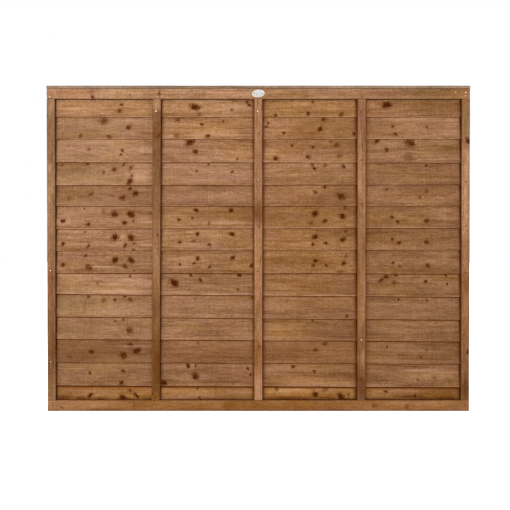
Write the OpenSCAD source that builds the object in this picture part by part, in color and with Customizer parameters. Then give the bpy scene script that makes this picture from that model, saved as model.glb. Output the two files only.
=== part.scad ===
// Lap fence panel, standing on its bottom edge.
// Thin boards lap one over the next like slates. Each leans back a little, so that its
// lower edge sits in front of the board below it. Uprights and rails on the front and on
// the back hold the boards between them, and a capping strip closes the top.
// X runs along the width, Y from the front to the back, Z up.
// The origin is the middle of the bottom edge. All lengths are in millimetres.

/* [Panel] */
// Overall width
panel_w = 1830; // [900:1:2400]
// Overall height, capping strip included
panel_h = 1410; // [900:1:2000]

/* [Lap boards] */
// Number of boards, from the top to the bottom
board_count = 14; // [8:1:20]
// Thickness of a board
board_t = 6.5; // [4:0.5:10]
// How far a board reaches over the one below it, on an even course
board_lap = 17; // [14:1:40]
// How far the board ends stop short of the panel's sides
board_inset = 2; // [1:0.5:10]
// Space from the top board's upper edge to the capping strip
head_gap = 11; // [4:1:30]
// Space from the bottom board's lower edge to the foot of the panel
foot_gap = 10; // [6:1:20]

/* [Uprights and rails] */
// Width of an upright, seen from the front
upright_w = 35; // [25:1:60]
// Thickness of the uprights and rails, from front to back
frame_t = 15; // [12:0.5:25]
// Height of the top rails
top_rail_h = 44; // [37:1:70]
// Height of the bottom rails
bottom_rail_h = 48; // [37:1:80]
// Size of the eased corners along uprights and rails
arris = 1.2; // [0.2:0.1:3]

/* [Capping strip] */
// Height of the capping strip
cap_t = 12; // [8:1:25]
// How far the capping strip stands proud of the rails, front and back
cap_proud = 2; // [2:0.5:10]
// Size of the eased corners along the top of the capping strip
cap_ease = 2.5; // [0.5:0.5:5]

/* [Nails] */
// Radius of a nail's shank
shank_r = 1.3; // [0.8:0.1:2]
// Radius of a nail's head
head_r = 2.8; // [2.2:0.1:4]
// Thickness of a nail's head
head_t = 1; // [0.6:0.1:1.5]
// How far a nail bites into the back uprights and rails
nail_bite = 10; // [6:0.5:10.5]
// Length of the nails that hold the capping strip
cap_nail_l = 35; // [25:1:45]

/* [Oval tag] */
// Length of the tag
tag_l = 57; // [40:1:80]
// Height of the tag
tag_h = 35; // [25:1:36]
// Radius of the tag's rounded ends
tag_end_r = 12; // [8:0.5:12.4]
// Thickness of the tag at its rim
tag_t = 1.2; // [0.8:0.1:1.4]
// Width of the raised rim
tag_rim = 3; // [1.5:0.5:5]
// Depth of the field inside the rim
tag_field = 0.4; // [0.2:0.1:0.5]
// Radius of a tack's head
tack_head_r = 2.2; // [1.8:0.1:3]
// Radius of a tack's shank
tack_r = 0.9; // [0.6:0.1:1.2]
// Length of a tack
tack_l = 11; // [6:0.5:12]

/* [Hidden] */
$fn = 48;

// Clearances
lap_play = 0.2;   // between one board's back and the next board's front, at the closest lap
seat_play = 0.1;  // between the boards and the timber that holds them
butt_play = 0.3;  // between the ends of the uprights and the rails
nail_play = 0.05; // round nails and tacks
tip_play = 0.5;   // past the point of a nail or a tack
over = 1;         // overrun of every cut

// Small sizes of the nails and tacks
point_l = 4;
tip_r = 0.3;
tack_head_t = 0.6;
board_ease = 0.6;

// How far each board's lower edge lies above its even place, as a share of the course,
// at the left and at the right end, from the top board down
left_rise_shares = [
    0.06, 0.06, 0.03, 0, 0.065, 0.04, 0.05, 0.07, 0.125, 0.10, 0.10, 0.05, 0.01, 0.01
];
right_rise_shares = [
    0.055, 0.07, 0.01, 0.04, 0.085, 0.085, 0.11, 0.03, -0.015, -0.05, -0.02, -0.03, -0.07, -0.04
];

// Uprights from left to right: places of their middle lines between the outer two, and
// how far the foot and the top stand off that line, as a share of the upright's width
upright_names = ["left_stile", "left_batten", "centre_batten", "right_batten", "right_stile"];
upright_shares = [-0.5, -0.25, 0, 0.25, 0.5];
foot_lean_shares = [0, 0.08, 0, -0.05, 0];
top_lean_shares = [0, 0.3, 0, -0.05, 0];

// Boards, counted from the top, whose laps are nailed at each upright, and boards nailed
// once more through their faces
lap_nail_boards = [
    [1, 3, 5, 8, 10, 12],
    [3, 7, 9, 11, 13],
    [6, 8, 10, 12],
    [3, 5, 7, 9, 11, 13],
    [2, 4, 6, 8, 10, 13]
];
face_nail_boards = [[], [1, 5], [1, 2, 4], [1], []];
lap_nail_share = 0.5;
face_nail_share = 0.22;
wander_shares = [0.05, -0.08, 0.10, -0.04, 0, -0.10, 0.07];

// Nails through the rails: place along the panel's width, and up the rail's height
top_rail_nail_shares = [
    [-0.492, 0.17], [-0.238, 0.17], [0.245, 0.2], [0.466, 0.62], [0.49, 0.62], [0.489, 0.3]
];
bottom_rail_nail_shares = [
    [-0.488, 0.56], [-0.242, 0.52], [0.003, 0.6], [0.247, 0.54], [0.49, 0.58]
];
cap_nail_shares = [-0.46, -0.23, 0.02, 0.27, 0.44];
tack_share = 0.68;

// Courses of the boards
course = (panel_h - cap_t - head_gap - foot_gap - board_lap) / board_count;
board_w = course + board_lap;
board_l = panel_w - 2 * board_inset;

function pick(list, i) = list[i % len(list)];
function even_edge(i) = foot_gap + (board_count - 1 - i) * course;
function left_edge(i) = even_edge(i) + pick(left_rise_shares, i) * course;
function right_edge(i) = even_edge(i) + pick(right_rise_shares, i) * course;
function edge_rise(i) = right_edge(i) - left_edge(i);
function edge_at(i, x) = (left_edge(i) + right_edge(i)) / 2 + edge_rise(i) * x / panel_w;
function lap_at(i, x) = board_w - edge_at(i, x) + edge_at(i + 1, x);

// All the boards lean back by one angle, at which the closest two of them just clear
closest = min([for (i = [0 : board_count - 2]) edge_at(i, 0) - edge_at(i + 1, 0)]);
tilt = asin((board_t + lap_play) / closest);
steepest = max([for (i = [0 : board_count - 1]) abs(edge_rise(i))]);

// Depths, each from the middle plane of the panel
zone_half = (board_w + steepest) / 2 * sin(tilt) + board_t / 2 * cos(tilt) + seat_play;
face_half = zone_half + frame_t;
cap_half = face_half + cap_proud;
nail_l = frame_t + 2 * zone_half + nail_bite;

// Heights of the uprights and rails
top_rail_z = panel_h - cap_t - top_rail_h;
upright_foot = bottom_rail_h + butt_play;
upright_top = top_rail_z - butt_play;
upright_l = upright_top - upright_foot;

// Uprights' middle lines
function upright_line(u) = upright_shares[u] * (panel_w - upright_w);
function foot_x(u) = upright_line(u) + foot_lean_shares[u] * upright_w;
function top_x(u) = upright_line(u) + top_lean_shares[u] * upright_w;
function upright_x(u, z) = foot_x(u) + (top_x(u) - foot_x(u)) * (z - upright_foot) / upright_l;

// Nail places as [x, z]
function lap_nail_z(i, x) = edge_at(i, x) + lap_nail_share * lap_at(i, x);
function face_nail_z(i, x) = edge_at(i, x) + face_nail_share * course;
function nail_place(u, b, z) = [upright_x(u, z) + pick(wander_shares, b) * upright_w, z];
function upright_nails(u) = concat(
    [for (b = lap_nail_boards[u]) if (b < board_count)
        nail_place(u, b, lap_nail_z(b - 1, upright_line(u)))],
    [for (b = face_nail_boards[u]) if (b < board_count)
        nail_place(u, b, face_nail_z(b - 1, upright_line(u)))]
);
function rail_nails(shares, z, h) = [for (s = shares) [s[0] * panel_w, z + s[1] * h]];
top_nails = rail_nails(top_rail_nail_shares, top_rail_z, top_rail_h);
bottom_nails = rail_nails(bottom_rail_nail_shares, 0, bottom_rail_h);
front_nails = concat(
    [for (u = [0 : len(upright_names) - 1]) each upright_nails(u)], top_nails, bottom_nails
);

// Oval tag: four arcs that run into each other without a corner
function flat_r(l, h, r) = (pow(l / 2 - r, 2) + pow(h / 2, 2) - pow(r, 2)) / (h - 2 * r);
tag_z = top_rail_z + top_rail_h / 2;
tack_x = tack_share * tag_l / 2;

wood = "#a5764f";
pale_wood = "#b08556";
cap_wood = "#9c8a66";

function board_name(i) = str("board_", i < 9 ? "0" : "", i + 1);
board_names = [for (i = [0 : board_count - 1]) board_name(i)];

// A rectangle with its corners cut off, in the middle of the drawing
module eased_rectangle(w, h, ease) {
    polygon([
        [-w / 2 + ease, -h / 2], [w / 2 - ease, -h / 2], [w / 2, -h / 2 + ease],
        [w / 2, h / 2 - ease], [w / 2 - ease, h / 2], [-w / 2 + ease, h / 2],
        [-w / 2, h / 2 - ease], [-w / 2, -h / 2 + ease]
    ]);
}

// A bar along X, centred, with eased edges
module bar_along_x(l, d, h, ease) {
    rotate([90, 0, 90])
        linear_extrude(height = l, center = true)
            eased_rectangle(d, h, ease);
}

// A nail with its head's outer face at the origin, pointing along +Z
module nail_shape(l, r, hr, ht) {
    cylinder(h = ht, r = hr);
    translate([0, 0, ht])
        cylinder(h = l - ht - point_l, r = r);
    translate([0, 0, l - point_l])
        cylinder(h = point_l, r1 = r, r2 = tip_r);
}

// The room that a nail takes in the timber
module nail_room(l, r, hr, ht) {
    translate([0, 0, -over])
        cylinder(h = over + ht, r = hr + nail_play);
    cylinder(h = l + tip_play, r = r + nail_play);
}

// Puts what stands at the origin on the front face at [x, z], pointing to the back
module from_front(place) {
    translate([place[0], -face_half, place[1]])
        rotate([-90, 0, 0])
            children();
}

// Puts what stands at the origin on top of the capping strip, pointing down
module from_top(x, side) {
    translate([x, side * (zone_half + frame_t / 2), panel_h])
        rotate([180, 0, 0])
            children();
}

module nails(places) {
    color("silver")
        for (place = places)
            from_front(place)
                nail_shape(nail_l, shank_r, head_r, head_t);
}

module nail_rooms(places) {
    for (place = places)
        from_front(place)
            nail_room(nail_l, shank_r, head_r, head_t);
}

// The tag's outline: two wide arcs above and below, and a small one round each end
module oval(l, h, r) {
    wide = flat_r(l, h, r);
    turn_x = (l / 2 - r) * wide / (wide - r);
    intersection() {
        translate([0, h / 2 - wide])
            circle(r = wide);
        translate([0, wide - h / 2])
            circle(r = wide);
        square([2 * turn_x, h], center = true);
    }
    for (side = [-1, 1])
        translate([side * (l / 2 - r), 0])
            circle(r = r);
}

// One lap board: leaned back by the tilt and turned in its own plane to its end heights
module board(i) {
    middle = edge_at(i, 0) + board_w / 2 * cos(tilt) - board_t / 2 * sin(tilt);
    near = [for (place = front_nails) if (abs(place[1] - middle) < board_w) place];
    color(i == board_count - 1 ? pale_wood : wood)
        difference() {
            translate([0, 0, middle])
                rotate([-tilt, 0, 0])
                    rotate([0, -atan(edge_rise(i) / panel_w), 0])
                        bar_along_x(board_l, board_t, board_w, board_ease);
            nail_rooms(near);
        }
}

// One upright, on the front where side is -1 and on the back where it is 1. It leans
// from its foot to its top, and its ends are cut level with the rails.
module upright(u, side) {
    lean = atan((top_x(u) - foot_x(u)) / upright_l);
    color(wood)
        difference() {
            intersection() {
                translate([(foot_x(u) + top_x(u)) / 2, 0, (upright_foot + upright_top) / 2])
                    rotate([0, lean, 0])
                        translate([0, side * (zone_half + frame_t / 2), 0])
                            linear_extrude(height = upright_l + upright_w, center = true)
                                eased_rectangle(upright_w, frame_t, arris);
                translate([-panel_w / 2, -face_half - over, upright_foot])
                    cube([panel_w, 2 * (face_half + over), upright_l]);
            }
            nail_rooms(upright_nails(u));
        }
}

// A rail across the panel's whole width, with its foot at height z
module rail(z, h, side, places) {
    color(pale_wood)
        difference() {
            translate([0, side * (zone_half + frame_t / 2), z + h / 2])
                bar_along_x(panel_w, frame_t, h, arris);
            nail_rooms(places);
            capping_nail_rooms();
            tack_rooms();
        }
}

module capping_strip() {
    color(cap_wood)
        difference() {
            translate([0, 0, panel_h - cap_t])
                rotate([90, 0, 90])
                    linear_extrude(height = panel_w, center = true)
                        polygon([
                            [-cap_half, 0], [cap_half, 0], [cap_half, cap_t - cap_ease],
                            [cap_half - cap_ease, cap_t], [-cap_half + cap_ease, cap_t],
                            [-cap_half, cap_t - cap_ease]
                        ]);
            capping_nail_rooms();
        }
}

module capping_nails() {
    color("silver")
        for (share = cap_nail_shares)
            for (side = [-1, 1])
                from_top(share * panel_w, side)
                    nail_shape(cap_nail_l, shank_r, head_r, head_t);
}

module capping_nail_rooms() {
    for (share = cap_nail_shares)
        for (side = [-1, 1])
            from_top(share * panel_w, side)
                nail_room(cap_nail_l, shank_r, head_r, head_t);
}

// The oval tag lies on the middle of the front top rail. Its field is sunk inside a rim.
module oval_tag() {
    color("whitesmoke")
        difference() {
            from_front([0, tag_z])
                translate([0, 0, -tag_t])
                    linear_extrude(height = tag_t)
                        oval(tag_l, tag_h, tag_end_r);
            from_front([0, tag_z])
                translate([0, 0, -tag_t - over])
                    linear_extrude(height = over + tag_field)
                        oval(tag_l - 2 * tag_rim, tag_h - 2 * tag_rim, tag_end_r - tag_rim);
            tack_rooms();
        }
}

// The tacks' heads lie on the tag's field
module at_tacks() {
    for (side = [-1, 1])
        from_front([side * tack_x, tag_z])
            translate([0, 0, tag_field - tag_t - tack_head_t])
                children();
}

module tag_tacks() {
    color("dimgray")
        at_tacks()
            nail_shape(tack_l, tack_r, tack_head_r, tack_head_t);
}

module tack_rooms() {
    at_tacks()
        cylinder(h = tack_l + tip_play, r = tack_r + nail_play);
}

for (i = [0 : board_count - 1])
    board(i);
for (u = [0 : len(upright_names) - 1]) {
    upright(u, -1);
    upright(u, 1);
    nails(upright_nails(u));
}
rail(top_rail_z, top_rail_h, -1, top_nails);  // top_rail_front
rail(top_rail_z, top_rail_h, 1, top_nails);  // top_rail_back
nails(top_nails);  // top_rail_nails
rail(0, bottom_rail_h, -1, bottom_nails);  // bottom_rail_front
rail(0, bottom_rail_h, 1, bottom_nails);  // bottom_rail_back
nails(bottom_nails);  // bottom_rail_nails
capping_strip();
capping_nails();
oval_tag();
tag_tacks();
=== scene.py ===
"""Lap fence panel: sawn boards, uprights, rails, capping, nails and tag, on a pale studio floor."""

from collections import namedtuple
from functools import reduce
from itertools import cycle
from math import cos, radians, sin, tan

import bpy
import numpy as np
from bpy.props import FloatProperty, FloatVectorProperty, IntProperty, PointerProperty
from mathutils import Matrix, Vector


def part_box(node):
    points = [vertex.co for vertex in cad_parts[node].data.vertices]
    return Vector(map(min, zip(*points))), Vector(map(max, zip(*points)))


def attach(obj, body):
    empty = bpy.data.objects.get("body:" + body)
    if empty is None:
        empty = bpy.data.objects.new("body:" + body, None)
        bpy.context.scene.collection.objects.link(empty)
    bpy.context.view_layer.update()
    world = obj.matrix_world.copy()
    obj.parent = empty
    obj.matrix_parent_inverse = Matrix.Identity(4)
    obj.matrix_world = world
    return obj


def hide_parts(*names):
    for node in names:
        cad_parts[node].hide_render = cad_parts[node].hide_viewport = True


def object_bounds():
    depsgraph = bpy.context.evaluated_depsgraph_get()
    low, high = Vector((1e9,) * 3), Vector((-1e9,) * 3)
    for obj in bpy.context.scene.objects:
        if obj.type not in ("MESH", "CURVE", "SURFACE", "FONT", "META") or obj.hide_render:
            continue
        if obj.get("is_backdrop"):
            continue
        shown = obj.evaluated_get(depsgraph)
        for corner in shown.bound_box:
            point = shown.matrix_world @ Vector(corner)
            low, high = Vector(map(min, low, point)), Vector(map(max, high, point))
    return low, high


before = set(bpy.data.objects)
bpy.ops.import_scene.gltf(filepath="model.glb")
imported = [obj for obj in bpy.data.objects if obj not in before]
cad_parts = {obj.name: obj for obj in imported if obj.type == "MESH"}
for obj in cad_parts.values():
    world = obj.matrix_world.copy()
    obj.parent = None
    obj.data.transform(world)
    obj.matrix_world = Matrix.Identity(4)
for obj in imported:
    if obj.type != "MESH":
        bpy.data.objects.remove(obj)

bl_info = {
    "name": "Lap fence panel",
    "version": (1, 0, 0),
    "blender": (4, 5, 0),
    "location": "View3D > Sidebar > Fence",
    "description": "Gives a lap fence panel its sawn timber, nails and tag, and a studio to show it in",
    "category": "Add Mesh",
}

CAD_LOW, CAD_HIGH = (np.array(corner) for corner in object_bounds())
PANEL_W = CAD_HIGH[0] - CAD_LOW[0]
PANEL_H = CAD_HIGH[2]
FRONT_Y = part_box("left_stile_front")[0].y
MM = 0.001

# The panel's outline in the photograph, in its 510 pixel frame
PHOTO_SIDE = 510
PHOTO_LEFT_X = 46.95
PHOTO_RIGHT_X = 469.75
PHOTO_TOP_Y = 85.7
PHOTO_FOOT_Y = 411.2
PHOTO_MIDDLE_X = (PHOTO_LEFT_X + PHOTO_RIGHT_X) / 2
METRES_PER_PX = PANEL_W / (PHOTO_RIGHT_X - PHOTO_LEFT_X)

BOARDS = sorted(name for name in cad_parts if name.startswith("board_"))
UPRIGHTS = ["left_stile", "left_batten", "centre_batten", "right_batten", "right_stile"]
RAILS = ["top_rail", "bottom_rail"]

# The tables down to the looks were chosen against the photograph.

# How light, how pink and how golden, or below 0 how olive, each board and timber is against the
# plain wood, and how much lighter it is at its right or upper end
BOARD_TONES = [
    (0.99, 0.0, 0.4, 0.0), (1.01, 0.1, 0.1, 0.12), (1.03, 0.1, 0.0, 0.02), (0.955, 0.2, -0.1, 0.0),
    (0.825, 0.3, 0.0, 0.10), (0.91, 0.0, 0.1, -0.18), (0.935, 0.0, 0.1, -0.16), (0.89, 0.0, 0.1, -0.06),
    (0.945, 0.0, -0.1, -0.07), (0.95, 0.1, -0.2, -0.04), (0.86, 0.1, -0.1, -0.13), (0.73, 0.1, 0.1, 0.04),
    (0.81, 0.0, 0.0, 0.04), (0.89, 0.3, 1.0, -0.12),
]
UPRIGHT_TONES = [(0.81, 0.0, -0.6, 0.0), (0.57, 0.2, 0.4, 0.0), (1.06, 0.0, 0.15, 0.0),
                 (0.93, 0.0, 0.15, 0.0), (1.02, 0.0, -0.25, 0.0)]
RAIL_TONES = [(1.07, 0.0, 0.0, 0.0), (0.985, 0.0, 0.8, -0.04)]

# How far the painted shade reaches below the top rail and then below each lap, in millimetres,
# and how far it reaches onto the boards at the left and at the right of each upright
LAP_SHADES = [0.4, 1.0, 0.6, 3.6, 3.6, 3.2, 3.8, 1.6, 6.5, 6.5, 6.5, 7.5, 6.5, 15.0]
UPRIGHT_SHADES = [(8.0, 2.0), (7.5, 7.0), (18.0, 16.0), (21.0, 15.0), (10.0, 8.0)]

# How much of an upright's or a rail's narrow sides is painted shade, from the boards outwards.
# At 1 the painted shade just reaches the outer face.
UPRIGHT_SIDE_SHADES = [0.9, 1.1, 1.3, 1.1, 1.1]
RAIL_SIDE_SHADES = [0.12, 1.3]

# How far the paler foot of each board reaches, in millimetres: worn wood with a painted highlight
FOOT_WEAR_HIGHLIGHTS = [5.0, 4.0, 6.0, 4.0, 4.0, 6.0, 1.5, 1.0, 8.0, 1.5, 1.5, 1.5, 5.0, 2.0]

# Knots as they show in the photograph, board by board from the top: x, y, radius in
# millimetres and darkness from 0 to 1. Then the rails and the uprights.
BOARD_KNOTS = [
    [(121.6, 104.4, 4, 0.6), (120.2, 111, 6, 0.6), (195, 107.3, 9, 0.9), (247.2, 102, 4, 0.8),
     (249.6, 105, 4, 0.7), (232, 110.2, 4, 0.6), (199.4, 114.5, 5, 0.4), (292, 99.5, 4, 0.6),
     (313, 102.3, 4, 0.8), (275.5, 115.4, 6, 0.7), (308, 114, 6, 0.8), (341.5, 114.5, 6, 0.7),
     (387, 105, 9, 0.9)],
    [(103.7, 120.7, 10, 0.5), (128.5, 127.4, 6, 0.8), (135.7, 118.8, 5, 0.3), (80.7, 136, 6, 0.5),
     (109.4, 137.4, 6, 0.5), (177.4, 119.7, 6, 0.6), (202, 124.5, 4, 0.8), (222.8, 121.4, 4, 0.6),
     (176.4, 136, 5, 0.4), (207.5, 136.5, 6, 0.6), (268, 123.3, 4, 0.6), (266.3, 127.2, 4, 0.6),
     (283.5, 133.3, 4, 0.8), (323.8, 119.7, 6, 0.6), (320, 129.3, 8, 0.8), (353.5, 133.6, 6, 0.6),
     (393, 126.4, 4, 0.6), (395.3, 134, 5, 0.6), (427, 127.2, 5, 0.4)],
    [(88.8, 149.4, 5, 0.4), (122.3, 150.4, 4, 0.6), (121, 154.7, 4, 0.6), (190.3, 142, 10, 0.9),
     (195.6, 151.3, 6, 0.8), (237.2, 159.4, 4, 0.6), (292, 145.4, 4, 0.8), (313, 147.3, 4, 0.7),
     (336.8, 145, 6, 0.6), (331, 141.3, 5, 0.4), (275.5, 158.5, 6, 0.7), (308.2, 157, 7, 0.7),
     (339.6, 156, 6, 0.4), (377, 140.8, 9, 0.7), (386.3, 150, 6, 0.7), (409.7, 142.7, 13, 0.75),
     (408, 157, 12, 0.25)],
    [(62.4, 164.8, 4, 0.7), (87.6, 164, 4, 0.7), (123.8, 164, 4, 0.8), (114, 169.5, 6, 0.7),
     (103.8, 172.4, 5, 0.4), (130.8, 167.8, 6, 0.5), (129.6, 181.5, 9, 0.9), (132, 175.7, 4, 0.6),
     (208.6, 164, 4, 0.5), (232, 172, 4, 0.6), (196.4, 171, 4, 0.5), (312.5, 165, 4, 0.9),
     (314.5, 168.5, 4, 0.8), (325, 165.5, 5, 0.4), (343.8, 166.5, 6, 0.7), (426.4, 165.5, 4, 0.8)],
    [(130, 188.6, 6, 0.7), (135.4, 193.5, 8, 0.8), (123, 198, 8, 0.7), (91.2, 194, 6, 0.5),
     (69, 198.5, 5, 0.4), (325, 187, 6, 0.7), (315.8, 192.3, 5, 0.6), (341, 196.4, 10, 0.7),
     (386.7, 189.4, 5, 0.4), (426.3, 191.5, 6, 0.4), (420, 197.3, 5, 0.4)],
    [(114.4, 213.7, 9, 0.9), (131, 214.3, 9, 0.9), (124.6, 223, 6, 0.8), (62.8, 221, 6, 0.7),
     (88.5, 224.2, 6, 0.7), (133.7, 221, 3, 0.6), (84.4, 208.5, 3, 0.6), (196, 210.4, 6, 0.9),
     (230.8, 210.4, 6, 0.9), (178.8, 219.7, 5, 0.7), (192.5, 218, 4, 0.6), (209, 223.4, 5, 0.7),
     (315, 213.7, 8, 0.9), (342.5, 216.3, 8, 0.9), (325, 221, 6, 0.7), (311.4, 223, 7, 0.4),
     (345, 208, 4, 0.6), (392, 217.2, 5, 0.7), (398, 222, 5, 0.7), (426.5, 221, 6, 0.7)],
    [(115, 237.3, 9, 0.9), (131, 237.7, 9, 0.9), (125.2, 245.4, 6, 0.8), (63.2, 244, 6, 0.7),
     (88.3, 246.4, 6, 0.7), (84.8, 232.3, 3, 0.6), (133.7, 243.7, 3, 0.6), (134, 250, 4, 0.6),
     (197.3, 234.4, 6, 0.8), (231.8, 234, 6, 0.8), (179.7, 242.3, 4, 0.7), (193.5, 241, 4, 0.6),
     (209.7, 245.2, 5, 0.7), (315, 237, 7, 0.8), (343, 239.4, 7, 0.8), (325.6, 242.7, 5, 0.7),
     (313, 244, 6, 0.6), (345.8, 231.5, 4, 0.6), (392.3, 239.4, 5, 0.7), (399, 243, 5, 0.7),
     (426.3, 242.3, 6, 0.7)],
    [(115, 260, 9, 0.9), (131.2, 260.3, 9, 0.9), (125.4, 266.4, 6, 0.8), (63.2, 265, 6, 0.7),
     (89, 267.2, 8, 0.8), (85.4, 255.8, 4, 0.7), (134, 270, 3, 0.6), (197.7, 258.4, 7, 0.8),
     (232.7, 257.6, 7, 0.8), (180, 264.5, 4, 0.7), (194, 263.5, 4, 0.7), (210, 266.7, 5, 0.7),
     (252, 265.7, 6, 0.8), (315.5, 260.7, 6, 0.8), (313.4, 265.7, 5, 0.7), (326, 265.5, 5, 0.7),
     (343.5, 263.2, 6, 0.8), (346.2, 256.2, 4, 0.6), (393, 263.2, 4, 0.7), (399.5, 266.4, 4, 0.7),
     (427.8, 265.5, 6, 0.8)],
    [(130, 276.2, 4, 0.6), (97.2, 283, 5, 0.4), (191, 275, 6, 0.9), (200.3, 280, 6, 0.7),
     (239.4, 275, 6, 0.9), (174, 283, 10, 1.0), (237.6, 289.6, 4, 0.6), (386.5, 276.8, 6, 0.7),
     (381, 280.2, 6, 0.7), (394, 283, 6, 0.5), (396, 275.5, 4, 0.6), (425.7, 281.2, 5, 0.7),
     (447.4, 284, 4, 0.7), (445.8, 275.6, 4, 0.6)],
    [(88.5, 296.5, 4, 0.6), (115, 300, 4, 0.7), (124.6, 297, 4, 0.7), (130.4, 299.7, 6, 0.5),
     (103.8, 300.5, 5, 0.4), (195.2, 299, 4, 0.25), (234.2, 301, 4, 0.3), (252, 298, 4, 0.7),
     (347, 316, 4, 0.6), (398.5, 299.7, 4, 0.6), (427, 300.5, 5, 0.4)],
    [(123, 319.5, 4, 0.6), (129.6, 330.4, 9, 0.6), (115, 321.3, 3, 0.6), (234.2, 323.3, 4, 0.25),
     (312.2, 320, 4, 0.6)],
    [(130.5, 345.2, 8, 0.8), (136.6, 350.7, 9, 0.9), (123.7, 355.3, 9, 0.9), (91.6, 351.7, 6, 0.7),
     (69.4, 357, 5, 0.4), (140, 347.8, 3, 0.6), (198.5, 342.8, 5, 0.4), (325.5, 343.7, 6, 0.5),
     (315.5, 350, 6, 0.7), (386.7, 347, 4, 0.6), (427, 350.3, 5, 0.7), (420.5, 357, 5, 0.4)],
    [(89.8, 373, 5, 0.7), (123.2, 371.2, 5, 0.7), (121.7, 383, 7, 0.9), (188, 366, 6, 0.9),
     (195.6, 366, 4, 0.7), (195.2, 376.4, 9, 0.9), (164, 383, 8, 0.9), (247.8, 368.8, 4, 0.7),
     (250.6, 375, 4, 0.7), (293, 366.7, 4, 0.8), (314.3, 371.5, 5, 0.8), (417.8, 380, 5, 0.4),
     (434.2, 377.5, 5, 0.4)],
    [(130, 390.5, 4, 0.7), (135.4, 394.7, 6, 0.8), (90.6, 395.5, 6, 0.8), (123, 397.6, 7, 0.9),
     (197.5, 388.5, 4, 0.6), (199.8, 398, 4, 0.6), (276.5, 389, 6, 0.5), (325, 389.5, 7, 0.5),
     (315.5, 394.3, 8, 0.8), (340.8, 396.3, 10, 0.9), (386.2, 391.4, 4, 0.8), (348.5, 394.8, 4, 0.5),
     (415, 396.3, 5, 0.8), (138, 396.8, 5, 0.7)],
]
RAIL_KNOTS = [[(92.3, 97, 5, 0.8), (90, 92.5, 3, 0.5), (159.5, 93.5, 4, 0.6), (130, 95, 3, 0.5)],
              [(62, 407.5, 4, 0.5), (134, 405, 4, 0.4), (374, 406, 6, 0.4), (407, 407, 5, 0.4)]]
UPRIGHT_KNOTS = [
    [(52, 168, 4, 0.3)],
    [(158.5, 136, 5, 0.6), (157.5, 235.5, 3, 0.6), (152, 394, 4, 0.6), (155.5, 397.5, 4, 0.6)],
    [(259, 347, 4, 0.4)],
    [(362, 205, 4, 0.3), (361, 380, 5, 0.4)],
    [(468.5, 141, 7, 1.0), (468.5, 352, 6, 0.9)],
]

# Nail heads that shine in the photograph: x, y and how far they are coated, from 0 to 1
BRIGHT_NAILS = [
    (50.5, 96.5, 0.0), (50, 114, 0.6), (50.5, 271.4, 0.0), (50.8, 361.5, 0.4), (157.2, 96.8, 0.5),
    (156.6, 112.5, 0.0), (258.1, 112.6, 0.1), (258.6, 179, 0.4), (362, 339, 0.2), (455.3, 92, 0.1),
    (465.4, 92, 0.1), (465.4, 95.4, 0.0),
]
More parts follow.
